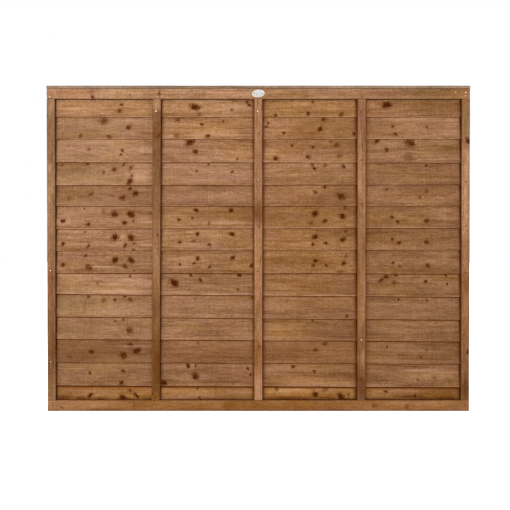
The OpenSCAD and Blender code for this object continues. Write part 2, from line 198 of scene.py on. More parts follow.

# Soft stains along the grain: x, y, half length and half width in pixels, darkness. Below 0 is
# paler, pinkish wood. First the boards by number, then the uprights and the rails. The boards'
# dark stains just above a lap or the bottom rail are painted shade that deepens the line there.
BOARD_STAINS_AND_SHADES = {
    1: [(425, 116, 30, 1.2, 0.5), (60, 100, 12, 2, 0.15), (72, 108.5, 12, 1, -0.3),
        (232, 108, 16, 4, -0.1)],
    2: [(83, 131, 18, 3, 0.22), (110, 136, 12, 2, 0.35), (134, 120, 14, 2, -0.3),
        (104, 121.5, 9, 3, 0.3)],
    3: [(201, 151.5, 6, 1, 0.4), (399, 161.5, 26, 1.2, 0.5), (90, 142, 30, 2, -0.15)],
    4: [(140, 178, 8, 4, -0.4), (200, 181, 30, 2, -0.25), (95, 182, 16, 2, -0.25)],
    5: [(75, 192, 18, 4, 0.25), (120, 188, 20, 2, 0.15), (400, 200, 30, 2, 0.12),
        (98, 203.3, 42, 3, -0.1)],
    6: [(103.4, 211, 1.1, 5, 0.6), (80, 227.3, 26, 1.5, 0.6), (126, 227.8, 20, 1, 0.4),
        (210, 227.5, 12, 1, 0.2), (90, 212, 30, 2, -0.2), (150, 222, 12, 1.2, -0.5),
        (225, 223, 30, 1, -0.4)],
    7: [(104.5, 233, 1.1, 4, 0.6), (80, 249.8, 24, 1.4, 0.5), (338, 249.8, 6, 1, 0.5),
        (105, 231, 3, 0.8, 0.5), (205, 249.3, 40, 1.2, 0.25), (150, 245, 12, 1, -0.4),
        (195, 246.5, 25, 1, -0.35)],
    8: [(104.5, 256, 1.1, 4, 0.6), (340.5, 272, 5, 1.6, 0.8), (84, 271, 28, 1.8, 0.6),
        (128, 271.5, 20, 1.2, 0.45), (105, 253.5, 3, 0.8, 0.5), (205, 271.5, 40, 1, 0.2),
        (412, 271.5, 42, 1.5, 0.35), (103, 266.8, 14, 0.7, -0.7), (180, 267, 16, 0.8, -0.5),
        (150, 264, 20, 1, -0.2)],
    9: [(118, 291.6, 34, 1.6, -0.45), (70, 292.6, 12, 1, -0.3), (110, 284, 16, 1, -0.3),
        (420, 289, 30, 1, 0.25), (235, 287.5, 26, 1, 0.3), (200, 283.5, 30, 0.8, 0.2),
        (385, 279, 14, 6, 0.2)],
    10: [(84.8, 309, 0.9, 5, 0.55), (436.7, 297.5, 3, 1.4, 0.5), (105, 316.4, 46, 1.2, 0.35),
         (205, 316.6, 40, 1, 0.25)],
    11: [(84.8, 323, 0.9, 3, 0.5), (417.6, 334, 0.9, 5, 0.5), (436.2, 322, 0.9, 2.5, 0.5),
         (110, 338.6, 40, 1, 0.25), (127.5, 326, 1, 4, 0.4)],
    12: [(260, 357, 90, 2, 0.15), (345, 362, 12, 1.5, 0.35), (132, 346.5, 18, 0.8, -0.4),
         (80, 356, 22, 3, 0.15), (185, 349, 22, 1, 0.2), (420, 351, 26, 0.8, -0.3)],
    13: [(122, 384, 5, 1.4, 0.5), (408, 385.5, 12, 1.2, 0.5), (420, 370.5, 20, 1, -0.6),
         (445, 372.5, 14, 1, -0.4), (330, 384, 60, 1.5, -0.2)],
    14: [(64, 397.6, 9, 2.6, 1.0), (82, 398.2, 9, 2.3, 1.0), (101, 398.6, 8, 1.8, 1.0),
         (93, 393.5, 6, 1, 0.5), (130, 393, 8, 1.4, 0.4), (270, 394, 10, 1, 0.4),
         (312, 390, 7, 1, 0.35), (126, 399.2, 10, 1.4, 1.0), (148, 398.5, 7, 1.8, 0.9),
         (212, 399.6, 44, 1.2, 0.8), (288, 397.8, 26, 1.5, 0.9), (300, 399.4, 40, 1.5, 1.0),
         (326, 397.2, 12, 1, 0.7), (350, 399.6, 14, 1.5, 0.9), (411, 396.6, 14, 1.3, 0.9),
         (446, 398.4, 15, 2.2, 1.0), (425, 398.6, 12, 1.2, 0.8), (425, 393.6, 12, 1, 0.4),
         (447, 393, 6, 1, 0.4), (385, 399.8, 24, 1, 0.8), (310, 390, 34, 1.5, -0.2),
         (240, 392, 14, 3, -0.2), (100, 391, 36, 1.5, -0.15), (400, 391, 20, 1, -0.2),
         (303, 393.5, 12, 0.8, 0.35), (331, 395, 6, 0.9, 0.5)],
}
UPRIGHT_STAINS = [
    [(51, 106, 9, 4, -0.25), (51, 276, 9, 4, 0.4), (50, 168, 4, 3, -0.3), (47.6, 250, 165, 0.7, 0.25),
     (52.5, 345, 20, 1.2, 0.3)],
    [(157, 104, 6, 4, -0.4), (157, 126, 13, 7, 0.2), (157, 134, 5, 7, 0.4), (157, 155, 5, 6, 0.3),
     (156.5, 197, 12, 4, -0.08), (153.5, 330, 60, 0.8, 0.3), (157, 360, 8, 4, 0.3)],
    [(258, 388, 11, 5, -0.3), (258, 213, 5, 5, 0.4), (255.5, 250, 30, 1, -0.2), (258, 347, 10, 4, 0.2)],
    [(361, 382, 17, 5, 0.4), (363, 354, 9, 1.5, -0.25), (359, 172, 22, 1.5, -0.25),
     (362, 345, 7, 3, 0.3)],
    [(462, 230, 120, 1.3, 0.25), (468.8, 250, 165, 0.8, 0.4), (465, 388, 13, 5, 0.3),
     (467, 146, 5, 3, 0.4), (465, 152, 6, 3, -0.3), (464, 335, 12, 2, 0.25)],
]
RAIL_STAINS = [
    [(92, 93.5, 0.9, 5, 0.6), (110, 92, 16, 4, -0.12), (70, 92, 14, 2, 0.2), (159.5, 94, 1.2, 4, 0.6),
     (306, 94, 1.2, 4, 0.45), (215, 96, 30, 1.5, 0.15), (425, 94, 18, 2, 0.25),
     (445, 92.5, 10, 1, -0.1), (140, 95.5, 24, 0.8, 0.2), (100, 90, 0.8, 3, 0.3),
     (133, 96.3, 5, 0.8, 0.35), (302.5, 92, 0.9, 4, 0.35), (309, 95.3, 1.6, 1, 0.4),
     (307, 90, 2, 0.8, 0.3), (406, 93, 2, 4, 0.2), (413, 90.3, 8, 0.9, 0.2), (421, 92, 4, 3, 0.3),
     (270, 95, 1, 1, 0.5), (271, 87.5, 1, 0.8, 0.5), (309, 96.5, 1.2, 1, 0.7), (440, 95, 0.9, 1.6, 0.4),
     (330, 93, 26, 0.7, 0.15)],
    [(374, 405, 9, 3, 0.12), (407, 407, 3, 4, 0.25), (134, 406, 0.8, 4, 0.4), (139, 406, 0.8, 4, 0.3),
     (145, 406, 0.8, 4, 0.35), (152, 406, 0.8, 5, 0.2), (55, 405, 8, 5, -0.1), (212, 406, 2.5, 4, 0.2),
     (227, 406, 4, 5, 0.3), (256, 406, 5, 5, 0.25), (300, 408, 40, 2, 0.2), (410, 403, 20, 1.5, -0.2)],
]

# Wide soft changes of tone: x, y, half length and half width in pixels, then how much lighter,
# pinker and more golden. First those that cross all the boards, then the boards by number, the
# uprights and the rails.
ALL_BOARDS_TINTS = [(78, 250, 62, 300, -0.03, 0.5, -0.45), (310, 250, 55, 300, -0.02, 0, 0.35)]
BOARD_TINTS = {
    1: [(85, 108, 60, 9, -0.01, -0.5, 0.4), (130, 108, 18, 9, 0.12, 0, 0),
        (282, 108, 24, 9, 0.12, 0, 0.1), (346, 108, 10, 9, -0.1, 0, 0),
        (410, 108, 36, 9, -0.07, 0, -0.1)],
    2: [(95, 128, 50, 11, -0.03, 0.7, -0.5), (205, 128, 34, 9, 0.06, 0, 0.5),
        (246, 128, 8, 9, -0.15, 0, 0), (320, 128, 50, 9, -0.08, 0.2, 0.3),
        (410, 128, 30, 9, 0.03, 0.3, 0.2)],
    3: [(85, 150, 45, 12, -0.1, 0.7, -0.4), (190, 152, 25, 9, 0, 0.4, 0),
        (238, 152, 18, 9, 0.05, 0, 0.6), (285, 150, 22, 9, 0.03, 0.4, 0.4)],
    4: [(80, 175, 34, 10, -0.14, 0.4, -0.4), (140, 177, 14, 7, 0.06, 0.7, -0.2),
        (205, 178, 40, 5, 0.02, 0.5, 0), (396, 174, 20, 9, -0.08, 0, 0.4),
        (440, 174, 16, 9, 0.06, 0, 0.3)],
    5: [(75, 195, 24, 9, -0.08, 0.5, -0.4), (125, 195, 25, 9, 0, 0, 0.2),
        (210, 195, 45, 9, 0.02, 0.4, 0.1), (300, 195, 40, 9, -0.08, 0.3, 0.2),
        (420, 195, 40, 9, 0.02, 0, 0.3)],
    6: [(90, 216, 55, 9, 0.02, -0.3, 0.3), (85, 226, 35, 2, -0.06, 0.5, 0),
        (182, 216, 24, 9, 0.14, 0, 0.1), (240, 217, 14, 9, -0.12, 0, 0.4),
        (305, 217, 50, 10, -0.08, 0.1, 0.2), (385, 217, 20, 9, -0.1, 0.2, 0.3),
        (446, 217, 16, 9, 0.18, 0.2, 0)],
    7: [(85, 238, 45, 8, 0.12, -0.2, 0.3), (85, 248.5, 40, 2, -0.12, 0.8, -0.2),
        (178, 240, 20, 9, 0.12, 0, 0.2), (238, 240, 18, 9, -0.15, 0, 0.4),
        (300, 240, 45, 10, -0.08, 0, 0.3), (385, 240, 20, 9, -0.05, 0.2, 0.3),
        (446, 240, 16, 9, 0.18, 0.2, 0)],
    8: [(85, 259, 45, 8, 0.03, 0, 0.2), (85, 270.5, 40, 2.2, -0.12, 0.7, -0.3),
        (188, 262, 26, 9, 0.2, 0, 0.2), (246, 262, 9, 9, -0.14, 0, 0.4),
        (300, 262, 50, 9, -0.12, 0, 0.5), (430, 261, 32, 5, 0.14, 0.3, 0),
        (415, 270, 42, 3, -0.12, 0.3, 0.3)],
    9: [(88, 283, 26, 10, -0.12, 0.1, 0.3), (136, 283, 16, 10, 0.09, 0.1, 0.1),
        (200, 285, 50, 9, 0, 0.2, 0), (300, 285, 42, 10, -0.07, 0, 0.5),
        (388, 284, 20, 10, -0.12, 0.1, 0.3), (450, 285, 12, 9, 0.14, 0.2, 0)],
    10: [(82, 307, 28, 9, -0.12, 0.6, -0.3), (200, 306, 50, 10, 0.03, 0.7, -0.2),
         (310, 306, 50, 10, -0.12, 0.4, 0.1), (428, 306, 22, 10, 0.08, 0.3, 0)],
    11: [(104, 326, 22, 9, 0.12, 0.2, 0), (141, 328, 14, 9, -0.12, 0.2, 0),
         (226, 328, 26, 9, 0.1, 0, 0.2), (185, 333, 30, 4, -0.08, 0.4, 0),
         (312, 328, 12, 9, -0.1, 0.2, 0), (282, 332, 20, 7, 0.01, 0, 0.4),
         (336, 334, 24, 8, -0.12, 0.4, -0.1)],
    12: [(68, 352, 20, 9, -0.12, 0.3, 0), (105, 346, 50, 4, 0.04, 0.3, 0),
         (105, 357, 50, 4, -0.05, 0.3, 0), (190, 350, 30, 9, 0.1, 0.3, 0.3),
         (228, 350, 22, 9, 0.12, 0.2, 0.3), (310, 352, 50, 9, -0.02, 0.2, 0.2),
         (420, 348, 40, 4, 0.05, 0.3, -0.2), (445, 350, 14, 10, -0.05, 0, -0.2)],
    13: [(75, 375, 20, 9, 0, 0.5, -0.3), (115, 371, 35, 2, 0.08, 0.4, -0.1),
         (200, 375, 20, 9, -0.06, 0.4, 0), (236, 375, 18, 9, 0.07, 0.3, 0.1),
         (310, 381, 50, 3, 0.07, 0, 0.5), (395, 375, 20, 9, -0.1, 0.2, 0),
         (440, 373, 22, 6, 0.13, 0.3, 0)],
    14: [(100, 393, 60, 10, -0.03, -0.4, 0.6), (68, 396, 16, 4, -0.15, 0.1, 0.4),
         (100, 391, 46, 4, -0.12, 0.2, 0), (300, 391, 34, 4, 0.24, 0.2, 0),
         (425, 396, 30, 4, -0.12, 0, 0.9), (135, 396, 12, 4, 0.05, 0, 1.0),
         (310, 396.5, 40, 2, -0.04, 0, 1.0), (195, 396, 30, 5, 0.1, 0, 0)],
}
UPRIGHT_TINTS = [
    [(51, 108, 9, 6, -0.03, 0.3, 0.1), (51, 158, 34, 6, 0.1, 0.3, 0.1), (51, 214, 16, 6, 0.08, 0.4, 0),
     (51, 252, 10, 6, -0.12, 0, 0), (51, 298, 34, 6, 0.07, 0, 0.6), (51, 360, 30, 6, -0.26, 0, 0.5),
     (51, 395, 6, 6, -0.1, 0, 0)],
    [(157, 104, 7, 6, 0.12, 0.8, -0.3), (157, 128, 16, 6, 0, 0.8, -0.9),
     (157, 175, 30, 6, 0.06, 0.6, -0.9), (157, 240, 8, 6, -0.1, 0, 0),
     (157, 256, 42, 6, 0.68, 0.1, -0.3), (157, 306, 9, 6, -0.24, 0, 0),
     (157, 368, 38, 6, -0.44, 0.1, 0.9), (155.5, 396, 4, 5, 0.1, 0.3, 1.0)],
    [(258, 162, 12, 6, 0.05, 0, 0), (258, 213, 15, 6, -0.5, 0.5, 0), (258, 276, 34, 6, 0.28, 0, 0.3),
     (258, 358, 16, 6, -0.22, 0, 0.4), (258, 387, 12, 6, -0.02, 0.3, 0.2)],
    [(361, 120, 24, 6, -0.12, 0.5, -0.2), (361, 152, 9, 6, 0.06, 0, 0), (361, 180, 36, 6, 0.22, 0, 0.1),
     (361, 242, 8, 6, -0.1, 0, 0.3), (361, 273, 7, 6, -0.12, 0, 0.4),
     (361, 300, 30, 6, -0.02, 0.1, 0.4), (361, 342, 18, 6, -0.22, 0, 0),
     (361, 386, 18, 6, -0.54, 0, -0.9)],
    [(466, 108, 24, 6, -0.17, 0, -0.4), (466, 194, 44, 6, 0.34, 0.1, -0.2),
     (466, 262, 9, 6, 0.12, 0, 0), (466, 283, 9, 6, -0.24, 0, 0.3), (466, 312, 50, 6, -0.18, 0.2, 0.5),
     (466, 370, 16, 6, -0.2, 0.1, 0.2), (466, 391, 12, 6, -0.5, 0.3, -0.6)],
]
RAIL_TINTS = [
    [(54, 94, 6, 5, -0.05, 0.6, -0.6), (76, 92, 14, 8, 0.06, -0.4, 0.5), (112, 92, 8, 8, 0.06, 0, 0),
     (133, 92, 10, 8, 0, 0, -0.5), (420, 92, 14, 8, -0.04, 0, -0.7), (455, 93, 14, 8, -0.08, 0, 0.6),
     (120, 92, 40, 8, -0.07, 0, 0), (228, 94, 24, 8, 0.06, 0, 0.1), (282, 94, 14, 8, 0.1, 0, 0.1),
     (345, 94, 32, 8, -0.05, 0, 0), (440, 94, 34, 8, -0.12, 0, -0.2)],
    [(58, 406, 9, 7, -0.12, 0.1, -0.6), (110, 405, 34, 7, 0.1, 0.1, -0.2),
     (250, 405, 38, 7, -0.17, 0, 0.5), (300, 405, 18, 7, -0.08, 0, 0.5),
     (386, 405, 28, 7, 0.15, 0, 0.1), (458, 406, 14, 7, -0.12, 0, -0.2),
     (72, 405, 12, 7, 0.06, 0, -0.6), (230, 405, 8, 7, -0.14, 0, 0.3), (332, 405, 12, 7, -0.1, 0, 0.3),
     # The last tint darkens the bottom rail's foot: painted shade along its lower edge.
     (374, 405, 10, 3, -0.04, 0.9, -0.2), (258, 410.4, 400, 1.8, -0.2, 0, -1.3)],
]


def screen_colour(name, description, default):
    """A colour that a user may change, given as it shows on a screen."""
    return FloatVectorProperty(
        name=name, description=description, subtype="COLOR_GAMMA", default=default, min=0, max=1)


class FenceLooks(bpy.types.PropertyGroup):
    """Sizes and colours of the timber, the nails and the tag."""

    board_step: FloatProperty(
        name="Board step", description="Spacing of the board meshes along the grain",
        default=0.0058, min=0.003, unit="LENGTH")
    frame_step: FloatProperty(
        name="Frame step", description="Spacing of the other timbers' meshes along the grain",
        default=0.0078, min=0.004, unit="LENGTH")
    board_rows: IntProperty(
        name="Board rows", description="Points across each face of a board", default=26, min=8)
    frame_rows: IntProperty(
        name="Frame rows", description="Points across each wide face of an upright", default=13, min=6)
    ring_width: FloatProperty(
        name="Ring width", description="Thickness of one year's growth",
        default=0.0042, min=0.001, unit="LENGTH")
    edge_wander: FloatProperty(
        name="Edge wander", description="How far a sawn edge strays inwards",
        default=0.0014, unit="LENGTH")
    face_wander: FloatProperty(
        name="Face wander", description="How far a sawn face strays inwards",
        default=0.00035, unit="LENGTH")
    dimple: FloatProperty(
        name="Nail dimple", description="Depth of the crushed wood round a nail's head",
        default=0.0008, unit="LENGTH")
    nail_dome: FloatProperty(
        name="Nail dome", description="Height of a nail's head above its rim",
        default=0.0004, unit="LENGTH")
    early_wood: screen_colour("Early wood", "Pale wood between the rings", (0.50, 0.36, 0.245))
    late_wood: screen_colour("Late wood", "Dark wood of the rings", (0.355, 0.238, 0.145))
    knot_wood: screen_colour("Knot wood", "Wood of the knots", (0.31, 0.155, 0.03))
    pale_wood: screen_colour(
        "Pale wood", "Pinkish wood where the treatment took less", (0.68, 0.53, 0.42))
    # Also the colour of the darkest painted shade in a lap line and beside an upright.
    bark_and_shade: screen_colour("Bark", "Bark and pitch round and in knots", (0.23, 0.08, 0.0))
    # Also the colour of the stains that are painted shade above the laps.
    pitch: screen_colour("Pitch", "Dark stains along the grain", (0.31, 0.145, 0.015))
    # Painted shade under a lap and beside an upright, and on the narrow sides of uprights and rails.
    shaded_wood: screen_colour(
        "Shaded wood", "Dark wood under a lap and beside an upright", (0.36, 0.172, 0.02))
    weathered: screen_colour(
        "Weathered wood", "Greyish green wood of the capping strip", (0.442, 0.380, 0.290))
    nail_steel: screen_colour("Nail steel", "Galvanised steel of the nails", (0.88, 0.76, 0.64))
    coating: screen_colour(
        "Coated nail", "The wood's treatment dried on a nail's head", (0.36, 0.24, 0.145))
    tag_white: screen_colour("Tag rim", "White rim of the tag", (0.70, 0.69, 0.67))
    tag_field: screen_colour("Tag field", "Pale blue-grey field of the tag", (0.555, 0.56, 0.56))


class FenceStudio(bpy.types.PropertyGroup):
    """Camera, floor and lights."""

    camera_distance: FloatProperty(
        name="Camera distance", description="From the camera to the panel's front",
        default=2.5, unit="LENGTH")
    camera_pitch: FloatProperty(
        name="Camera pitch", description="How far the camera looks down",
        default=radians(0.5), subtype="ANGLE")
    floor_size: FloatProperty(
        name="Floor size", description="Side of the floor", default=40.0, unit="LENGTH")
    left_power: FloatProperty(
        name="Left light", description="Power of the soft light at the upper left",
        default=23.5, unit="POWER")
    left_colour: FloatVectorProperty(
        name="Left light colour", description="Colour of the soft light, a little bluish",
        subtype="COLOR", default=(0.87, 1.0, 1.27), min=0, max=2)
    other_colour: FloatVectorProperty(
        name="Other light colour",
        description="Colour of the distant light and the surroundings, a little warm",
        subtype="COLOR", default=(1.06, 1.0, 0.92), min=0, max=2)
    front_light: FloatProperty(
        name="Front light", description="Strength of the distant light behind the camera, in W/m2",
        default=1.2)
    front_height: FloatProperty(
        name="Front light height", description="How far above the horizon the distant light stands",
        default=radians(8), subtype="ANGLE")
    floor_glow: FloatProperty(
        name="Floor glow", description="Light that the floor gives off, so that it shows as white",
        default=1.5)
    sky: FloatProperty(name="Sky", description="Light from the white surroundings", default=0.55)
    floor_white: screen_colour("Floor", "Colour of the floor", (0.72, 0.72, 0.715))


def looks():
    return bpy.context.scene.fence_looks


def linear(colour):
    """Scene-linear RGBA of a screen colour, by the sRGB curve."""
    c = np.array(colour[:3])
    return (*np.where(c <= 0.04045, c / 12.92, ((c + 0.055) / 1.055) ** 2.4), 1.0)


# Timber: a bar's section carried along its length

Bar = namedtuple("Bar", "start along across out length width depth")

# How a bar is cut and meshed: spacing along it, points across its wide and its narrow faces and
# round each corner, the corners' radius, and its share of the edge wander
Cut = namedtuple("Cut", "step rows side_rows turns ease stray")

# A bar's surface: its points, how far across and how far out from the middle line they lie, and
# which of them are on the front and on a narrow side
Skin = namedtuple("Skin", "points across depth front narrow")

# Wavelengths of the strays of a bar's corners, edges, faces and ends, in metres
EASE_WAVES = (0.31, 0.12, 0.05)
EDGE_WAVES = (0.83, 0.29, 0.11, 0.047)
FACE_WAVES = (0.9, 0.33, 0.13)
SLANT_WAVES = (0.4, 0.09)

LEAST_EASE = 0.75          # least share that a corner's radius has of the eased one
MORE_EASE = 1.1            # how much more than that share it may have
SWELL_LEAN = 3             # how far the swell of a face shifts along the bar for each metre across
END_POWER = 15             # how closely a cut's stray keeps to the bar's end
PATTERN_SPAN = 40          # side of the cube that each timber's place in the wood is drawn from
FLAT = 0.99                # a direction's share from which a point is on a flat side
EDGE_FADE = 20 * MM        # how far an edge's stray reaches across a face
FACE_MARGIN = 0.05 * MM    # how far the sawn faces lie inside the CAD ones at least
END_SLANT = 1.1 * MM       # how far a cut end strays
DIMPLE_REACH = 4.2 * MM    # how far the crushed wood reaches from a nail's middle
EDGE_WEAR_AND_SHADE = 3.5 * MM       # how far the darker edges reach from an edge: wear, and painted shade on the uprights and rails
WELL_AWAY = 50 * MM        # stands for any distance to a nail or an edge beyond it
FAR = 5.0                  # stands for any share that is out of reach of an edge or a joint

# The tree's middle beside a bar: how far aside, in the bar's widths, how far behind, how far
# either wanders over these wavelengths, and how much the trunk tapers in a metre
PITH_ASIDE = (-0.35, 0.35)
PITH_ASIDE_WANDER = 20 * MM
PITH_ASIDE_WAVES = (1.7, 0.9)
PITH_BEHIND = (0.03, 0.075)
PITH_BEHIND_WANDER = 12 * MM
PITH_BEHIND_WAVES = (2.1, 1.1)
TRUNK_TAPER = (0.004, 0.009)

# A knot's length over its width, how far it leans, how much larger than marked it is drawn,
# because its ragged rim makes it look smaller, and how far it pushes the grain aside: a share
# of the distance from it, over a reach along and across the grain in the knot's radii
KNOT_LONGER = (0.8, 1.35)
KNOT_LEAN = (-0.5, 0.5)
KNOT_SPREAD = 1.25
KNOT_PUSH = 0.85
KNOT_PUSH_REACH = (3.4, 1.5)
NO_KNOT = 8.0


def cad_points(node):
    """Corner points of a CAD node, as an array."""
    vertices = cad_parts[node].data.vertices
    points = np.empty(len(vertices) * 3, np.float32)
    vertices.foreach_get("co", points)
    return points.reshape(-1, 3).astype(float)


def bar_of(node, axis, across, out):
    """The straight bar that a CAD node is. Its middle line joins the middles of its two ends.
    The wide way and the thin way of its section are the principal directions of an end's
    corners, turned to agree with across and out."""
    points = cad_points(node)
    near_end = 2 * MM
    place = points[:, axis]
    ends = [points[place < place.min() + near_end], points[place > place.max() - near_end]]
    middles = [(end.min(0) + end.max(0)) / 2 for end in ends]
    corners = np.unique(ends[0].round(6), axis=0) - middles[0]
    ways = np.linalg.svd(corners)[2]
    wide, thin = ways[0] * np.sign(ways[0] @ across), ways[1] * np.sign(ways[1] @ out)
    along = middles[1] - middles[0]
    length = np.linalg.norm(along)
    return Bar(middles[0], along / length, wide, thin, length,
               2 * abs(corners @ wide).max(), 2 * abs(corners @ thin).max())


def waves(rng, x, lengths, size):
    """A smooth random line from 0 to size: sines of the given wavelengths with random phases,
    each as strong as its wavelength's square root, scaled to that range."""
    line = sum(np.sqrt(w) * np.sin(2 * np.pi * (x / w + rng.random())) for w in lengths)
    reach = sum(np.sqrt(w) for w in lengths)
    return size * (line / reach + 1) / 2


def stations(length, step, crowd, reach=0.012, gain=1.5, samples=4000):
    """Places along a bar, a step apart and closer together at each place in crowd: equal
    shares of the running sum of a density that is 1, and more by gain at those places."""
    fine = np.linspace(0, length, samples)
    density = np.ones_like(fine)
    for place in crowd:
        density += gain * np.exp(-((fine - place) / reach) ** 2)
    total = np.concatenate([[0], np.cumsum((density[1:] + density[:-1]) / 2)])
    count = int(length / step) + 1
    return np.interp(np.linspace(0, total[-1], count), total, fine)


def section_loop(rows, side_rows, turns):
    """Points round a bar's section as shares. Each point is its share of the inner rectangle,
    which is the section less its corner radius, plus its direction times that radius. The
    loop goes up the front, over the top, down the back and under the foot."""
    face, side = np.linspace(-1, 1, rows), np.linspace(1, -1, side_rows)
    turn = np.radians(np.arange(1, turns + 1) * 90 / (turns + 1))
    one = np.ones
    up_front = (face, one(rows), 0 * face, one(rows))
    over = (one(turns), one(turns), np.sin(turn), np.cos(turn))
    top = (one(side_rows), side, one(side_rows), 0 * side)
    behind = (one(turns), -one(turns), np.cos(turn), -np.sin(turn))
    first_half = np.concatenate([np.array(part) for part in (up_front, over, top, behind)], axis=1)
    return np.concatenate([first_half, -first_half], axis=1)


def ring_quads(rings, around):
    """Quads between neighbouring rings of points, each ring closed on itself."""
    i, j = np.meshgrid(np.arange(rings - 1), np.arange(around), indexing="ij")
    k = (j + 1) % around
    quads = np.stack([i * around + j, i * around + k, (i + 1) * around + k, (i + 1) * around + j], -1)
    return quads.reshape(-1, 4).tolist()


def pole_fans(rings, around):
    """Triangles that close the first and the last ring to two poles, whose points come after
    the rings' own."""
    ring = np.arange(around)
    after, last, pole = (ring + 1) % around, (rings - 1) * around, rings * around
    first_fan = np.stack([0 * ring + pole, after, ring], -1)
    last_fan = np.stack([0 * ring + pole + 1, last + ring, last + after], -1)
    return first_fan.tolist() + last_fan.tolist()


def section_faces(count, stops, rows):
    """Faces of a closed bar: quads between neighbouring sections, and at each end quads from
    the front's points to the back's and one face over each narrow side."""
    half = count // 2
    front, back = np.arange(rows), half + np.arange(rows)[::-1]
    end = np.stack([front[:-1], back[:-1], back[1:], front[1:]], -1)
    over, under = np.arange(rows - 1, half + 1), np.append(np.arange(half + rows - 1, count), 0)
    last = (stops - 1) * count
    return (ring_quads(stops, count) + end.tolist() + (end[:, ::-1] + last).tolist()
            + [over[::-1].tolist(), under[::-1].tolist(), (over + last).tolist(), (under + last).tolist()])


def mesh_piece(name, points, faces, attributes, sharp=50):
    """A mesh object at the origin, smooth but for its edges sharper than the given angle, with
    its faces turned outwards."""
    mesh = bpy.data.meshes.new(name)
    mesh.from_pydata(points.tolist(), [], faces)
    for title, values in attributes.items():
        kind, key = ("FLOAT_VECTOR", "vector") if values.ndim == 2 else ("FLOAT", "value")
        layer = mesh.attributes.new(title, kind, "POINT")
        layer.data.foreach_set(key, values.astype(np.float32).ravel())
    mesh.validate()
    mesh.calc_loop_triangles()
    corners = np.empty(len(mesh.loop_triangles) * 3, np.int32)
    mesh.loop_triangles.foreach_get("vertices", corners)
    a, b, c = points[corners.reshape(-1, 3)].transpose(1, 0, 2)
    if np.einsum("ij,ij->", a, np.cross(b, c)) < 0:
        mesh.flip_normals()
    mesh.polygons.foreach_set("use_smooth", np.ones(len(mesh.polygons), bool))
    mesh.set_sharp_from_angle(angle=radians(sharp))
    piece = bpy.data.objects.new(name, mesh)
    bpy.context.scene.collection.objects.link(piece)
    return piece


def dress(piece, material, node):
    """Gives a piece its material and its place on the panel, and hides the CAD node that it stands
    for."""
    piece.data.materials.append(material)
    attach(piece, "root")
    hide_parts(node)


def middle_drop(studio):
    """How far below halfway between its top and its foot the panel's middle shows, in metres.
    The camera looks down a little, so the top is nearer to it and shows larger."""
    return (PANEL_H / 2) ** 2 * sin(studio.camera_pitch) / studio.camera_distance


def photo_places(bar, marks):
    """Marks given at photograph pixels, as places along and across a bar, in metres: where the
    camera's line of sight through each pixel meets the plane of the bar's front."""
    studio = bpy.context.scene.fence_studio
    distance, pitch = studio.camera_distance, studio.camera_pitch
    marks = np.array(marks, float).reshape(len(marks), -1)
    right = (marks[:, 0] - PHOTO_MIDDLE_X) * METRES_PER_PX / distance
    halfway = (PHOTO_TOP_Y + PHOTO_FOOT_Y) / 2
    up = ((halfway - marks[:, 1]) * METRES_PER_PX + middle_drop(studio)) / distance
    behind = bar.start[1] - bar.depth / 2 - FRONT_Y
    reach = (distance + behind) / (cos(pitch) + up * sin(pitch))
    x = reach * right
    z = PANEL_H / 2 + distance * tan(pitch) + reach * (up * cos(pitch) - sin(pitch))
    across_share = [bar.along[0], bar.across[0]], [bar.along[2], bar.across[2]]
    offsets = np.stack([x - bar.start[0], z - bar.start[2]])
    along, across = np.linalg.solve(np.array(across_share), offsets)
    return along, across


def knot_field(rng, along, across, knots):
    """How far each point is from its nearest knot, in that knot's radii, how dark that knot is,
    and how far the grain is pushed aside. A knot is mostly longer along the grain, and leans.
    The grain keeps its place far away and closes up round the knot."""
    nearest, dark = np.full(along.shape, NO_KNOT), np.zeros(along.shape)
    pushed = np.zeros(along.shape)
    far_along, far_across = KNOT_PUSH_REACH
    for x, a, radius, darkness in knots:
        dx, da = along - x, across - a
        longer, lean = rng.uniform(*KNOT_LONGER), rng.uniform(*KNOT_LEAN)
        distance = np.sqrt(((dx + lean * da) / longer) ** 2 + da ** 2) / radius
        dark = np.where(distance < nearest, darkness, dark)
        nearest = np.minimum(nearest, distance)
        fading = np.exp(-((dx / far_along) ** 2 + (da / far_across) ** 2) / radius ** 2)
        pushed -= KNOT_PUSH * da * fading
    return nearest, dark, pushed


def oval_patch(along, across, x, a, half_length, half_width):
    """A soft oval patch, 1 in its middle and fading past its rim: e to the power of minus the
    cube of the distance from its middle, where 1 is its rim."""
    reach = ((along - x) / half_length) ** 2 + ((across - a) / half_width) ** 2
    return np.exp(-reach ** 1.5)


def stain_field(along, across, stains):
    """Darkness of soft oval stains. Below 0 is paler wood. Where stains meet, the stronger one
    shows."""
    dark = np.zeros(along.shape)
    for *oval, darkness in stains:
        here = darkness * oval_patch(along, across, *oval)
        dark = np.where(abs(here) > abs(dark), here, dark)
    return dark


def tint_field(along, across, tints):
    """Sums of how much lighter, pinker and more golden each point is by soft oval patches."""
    total = np.zeros((3, *along.shape))
    for x, a, half_length, half_width, *change in tints:
        patch = oval_patch(along, across, x, a, half_length, half_width)
        total += patch * np.array(change)[:, None, None]
    return total


def growth_rings(rng, along, across, depth, width):
    """Number of the year ring at each point: its distance from the tree's middle, which runs
    beside the bar and wanders a little, plus the taper of the trunk, over a ring's width."""
    aside = rng.uniform(*PITH_ASIDE) * width
    aside = aside + waves(rng, along, PITH_ASIDE_WAVES, PITH_ASIDE_WANDER) - PITH_ASIDE_WANDER / 2
    behind = rng.uniform(*PITH_BEHIND) + waves(rng, along, PITH_BEHIND_WAVES, PITH_BEHIND_WANDER)
    from_middle = np.sqrt((across - aside) ** 2 + (depth + behind) ** 2)
    taper = rng.uniform(*TRUNK_TAPER) * rng.choice([-1, 1])
    return (from_middle + taper * along) / looks().ring_width


def stacked(shape, *parts):
    """Three numbers for each point, as one vector attribute."""
    return np.stack([np.broadcast_to(part, shape) for part in parts], -1).reshape(-1, 3)


